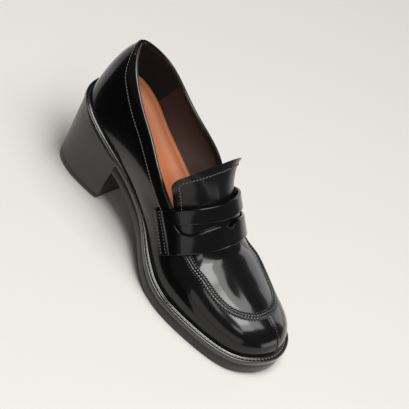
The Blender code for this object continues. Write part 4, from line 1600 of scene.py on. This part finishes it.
@dataclass
class CollarBand:
    """The band folded over the top line and stitched down below it."""

    last: Last
    tree: StitchTree
    width: float = 0.0110
    back_share: float = 0.35
    taper: float = 0.0300
    thickness: float = 0.0010
    bulge: float = 0.10
    fold_middle: float = 0.0014
    fold_height: float = 0.0019
    fold_slack: float = 0.0005
    end_gap: float = 0.0008
    stitch_inset: float = 0.0014

    # Millimetres in from the lower edge, and shares of the thickness.
    LOWER_EDGE = ((0.0, 0.02), (0.1, 0.25), (0.5, 0.65), (1.0, 0.92))
    # Millimetres down from the top line and up from the lining, where the fold ends inside.
    INNER_EDGE = ((3.0, -0.4), (3.3, 0.2))

    def build(self) -> None:
        """Build the band and its stitches."""
        self.leather()
        self.stitches()

    def line(self, count: int) -> tuple[Array, Array, Array]:
        """Follow the top line.

        Args:
            count: how many places.

        Returns:
            u and v of the places and the band's width at each.
        """
        end = float(self.last.station_at(self.last.sizes.strap_back)) + self.end_gap
        u = np.linspace(end, 2.0 - end, count)
        top = self.last.cut(u, self.last.below_collar)
        edge = self.last.point(u, top)
        away = np.hypot(edge[:, 0], edge[:, 1] - edge[:, 1].min()) / self.taper
        return u, top, self.width * (self.back_share + (1 - self.back_share) * eased(away))

    def drop(self, u: Array, top: Array, down: Array) -> Array:
        """Go down the ribs from the top line.

        Args:
            u: the ribs' places round the shoe.
            top: the v of the top line on each.
            down: how far down to go.

        Returns:
            The v at that distance.
        """
        v = top - down / self.last.rib_speed(u, top)
        edge = self.last.point(u, top)
        for _ in range(3):
            run = np.linalg.norm(self.last.point(u, v) - edge, axis=-1) * np.sign(top - v)
            v = v - (down - run) / np.maximum(self.last.rib_speed(u, v), 0.001)
        return v

    def leather(self) -> None:
        """Build the band, with its rounded fold over the edge."""
        u, top, width = self.line(361)
        wall, thick = self.last.sizes.wall, self.thickness
        section = [(width - inset * MM, thick * share) for inset, share in self.LOWER_EDGE]
        for share in np.linspace(0.84, 0.2, 8):
            section.append((width * share, thick * (1.0 + self.bulge * np.sin(share * pi))))
        across = (wall + thick + self.fold_slack) / 2
        for angle in np.linspace(0.0, pi, 11):
            section.append((self.fold_middle - self.fold_height * np.sin(angle),
                            thick - across + across * np.cos(angle)))
        section += [(down * MM, rise * MM - wall) for down, rise in self.INNER_EDGE]
        rings = [self.last.skin(u, self.drop(u, top, down), np.broadcast_to(high, u.shape))
                 for down, high in section]
        fit_piece(strip("collar_band_leather", rings, BAND_LEATHER, self.last),
                  "collar_band", "collar_band")

    def stitches(self) -> None:
        """Sew the stitches along the band's lower edge."""
        u, top, width = self.line(361)
        v = self.drop(u, top, width - self.stitch_inset)
        path = path_on_last(self.last, u, v, self.thickness + STITCH_RISE)
        self.tree.sew("collar_stitches", "collar_band", [path],
                      StitchRow(0.0025, 0.0019, 0.00040, jitter=0.10, seed=13))


class Softbox(NamedTuple):
    """A studio light, placed by the direction in which the shoe sees it.

    Azimuth 0 is in front of the toe and 90 on the inner side, in degrees. The shift moves it
    sideways. Lengths are metres; brightness is the radiance of its face.
    """

    name: str
    azimuth: float
    elevation: float
    distance: float
    shift: float
    width: float
    height: float
    brightness: float


def flat_sheet(name: str, low: tuple[float, float], high: tuple[float, float], up: float,
               finish: Finish) -> bpy.types.Object:
    """Make a level rectangle that belongs to the stage.

    Args:
        name: its name.
        low: its lowest x and y.
        high: its highest x and y.
        up: its height.
        finish: its material.

    Returns:
        The rectangle's object.
    """
    mesh = bpy.data.meshes.new(name)
    mesh.from_pydata([(low[0], low[1], up), (high[0], low[1], up), (high[0], high[1], up),
                      (low[0], high[1], up)], [], [(0, 1, 2, 3)])
    mesh.materials.append(finish.build())
    sheet = linked(name, mesh)
    return sheet


@dataclass
class Stage:
    """The plain pale floor, the soft lights and the camera."""

    last: Last
    floor_reach: float = 9.0
    ambient: float = 0.125
    lens: float = 167.5
    view_turn: float = -66.03
    view_tilt: float = 47.66
    view_roll: float = 33.50

    CAMERA_PLACE = (-1.0211, 0.5266, 1.0057)
    LIGHT_COLOUR = (1.0, 0.995, 0.985)
    SKY_COLOUR = (1.0, 0.985, 0.96, 1.0)
    LIGHTS = (
        Softbox("top_inner", 0.0, 78.0, 1.6, 0.33, 0.50, 1.30, 4.4),
        Softbox("top_outer_front", 0.0, 60.5, 1.6, -0.36, 0.84, 0.32, 5.5),
        Softbox("top_outer_back", 0.0, 83.5, 1.6, -0.36, 0.84, 0.98, 10.5),
        Softbox("front_outer", -52.0, 43.0, 1.6, 0.0, 0.42, 0.24, 3.2),
        Softbox("low_outer", -60.0, 9.5, 1.3, 0.0, 1.15, 0.46, 0.85),
        Softbox("low_toe", 18.0, 7.0, 1.4, 0.0, 0.85, 0.38, 2.2),
        Softbox("low_inner", 86.0, 15.0, 1.5, 0.0, 0.80, 0.78, 1.6),
    )
    # Where the card of painted reflection shade lies: its lowest x and y, its highest x and y, and
    # its height.
    CARD = ((-4.0, -0.07), (-0.085, 4.0), 0.0005)
    TONES = ((0.004, 0.003), (0.02, 0.015), (0.06, 0.054), (0.20, 0.195))

    def build(self) -> None:
        """Build the floor, the black card of painted reflection shade, the lights and the camera."""
        reach = self.floor_reach
        flat_sheet("floor", (-reach, -reach), (reach, reach), 0.0, PALE_FLOOR)
        self.painted_shade_card()
        self.lights()
        self.surroundings()
        self.camera()

    def painted_shade_card(self) -> None:
        """Lay a black card on the outer side as painted shade: only the leather's reflections show
        it, as dark reflections.
        """
        card = flat_sheet("painted_shade_card", *self.CARD, PAINTED_SHADE_CARD_FINISH)
        card.visible_camera = False
        card.visible_shadow = False
        card.visible_diffuse = False

    def lights(self) -> None:
        """Aim the soft boxes at the shoe."""
        target = Vector((0.0, 0.0, 0.05))
        for box in self.LIGHTS:
            data = bpy.data.lights.new(box.name, "AREA")
            data.shape = "RECTANGLE"
            data.size, data.size_y = box.width, box.height
            data.energy = box.brightness * pi * box.width * box.height
            data.color = self.LIGHT_COLOUR
            a, e = radians(box.azimuth), radians(box.elevation)
            way = Vector((np.sin(a) * np.cos(e), -np.cos(a) * np.cos(e), np.sin(e)))
            level = Vector((np.cos(a), np.sin(a), 0.0))
            turn = Matrix((level, way.cross(level), way)).transposed().to_4x4()
            turn.translation = target + way * box.distance + level * box.shift
            linked(box.name, data).matrix_world = turn

    def surroundings(self) -> None:
        """Set a dim even world, and tones that keep the blacks deep."""
        world = bpy.data.worlds.new("studio")
        world.use_nodes = True
        sky = world.node_tree.nodes["Background"]
        sky.inputs["Color"].default_value = self.SKY_COLOUR
        sky.inputs["Strength"].default_value = self.ambient
        bpy.context.scene.world = world
        view = bpy.context.scene.view_settings
        view.view_transform = "Standard"
        view.use_curve_mapping = True
        tone = view.curve_mapping.curves[3]
        for dark, shown in self.TONES:
            tone.points.new(dark, shown)
        view.curve_mapping.update()

    def camera(self) -> None:
        """Set the camera at the photo's angle to the shoe, aimed at the middle of the shoe."""
        data = bpy.data.cameras.new("camera")
        camera = linked("camera", data)
        data.sensor_width = 36.0
        data.lens = self.lens
        data.clip_start, data.clip_end = 0.05, 40.0
        photo = (Matrix.Rotation(radians(self.view_turn), 3, "Z")
                 @ Matrix.Rotation(radians(self.view_tilt), 3, "X")
                 @ Matrix.Rotation(radians(self.view_roll), 3, "Z"))
        right, up, back = photo.col
        place = Vector(self.last.world(np.array(self.CAMERA_PLACE)))
        spread = [Vector(corner) - place for corner in product(*zip(*CAD_BOX))]
        middle = [(min(slopes) + max(slopes)) / 2 for slopes in (
            [v.dot(axis) / -v.dot(back) for v in spread] for axis in (right, up))]
        aim = (right * middle[0] + up * middle[1] - back).normalized()
        level = (right - aim * right.dot(aim)).normalized()
        turn = Matrix((level, level.cross(aim), -aim)).transposed().to_4x4()
        turn.translation = place
        camera.matrix_world = turn
        bpy.context.scene.camera = camera


def main() -> None:
    """Build the whole scene, piece by piece."""
    logging.basicConfig(level=logging.INFO, format="%(message)s")
    last = Last(SIZES)
    tree = StitchTree()
    for part in (BottomUnit(last, tree), Footbed(last), UpperShell(last, tree),
                 Tongue(last, tree), PennyStrap(last, tree), ApronSeam(last, tree),
                 CollarBand(last, tree), Stage(last)):
        part.build()


if __name__ == "__main__":
    main()
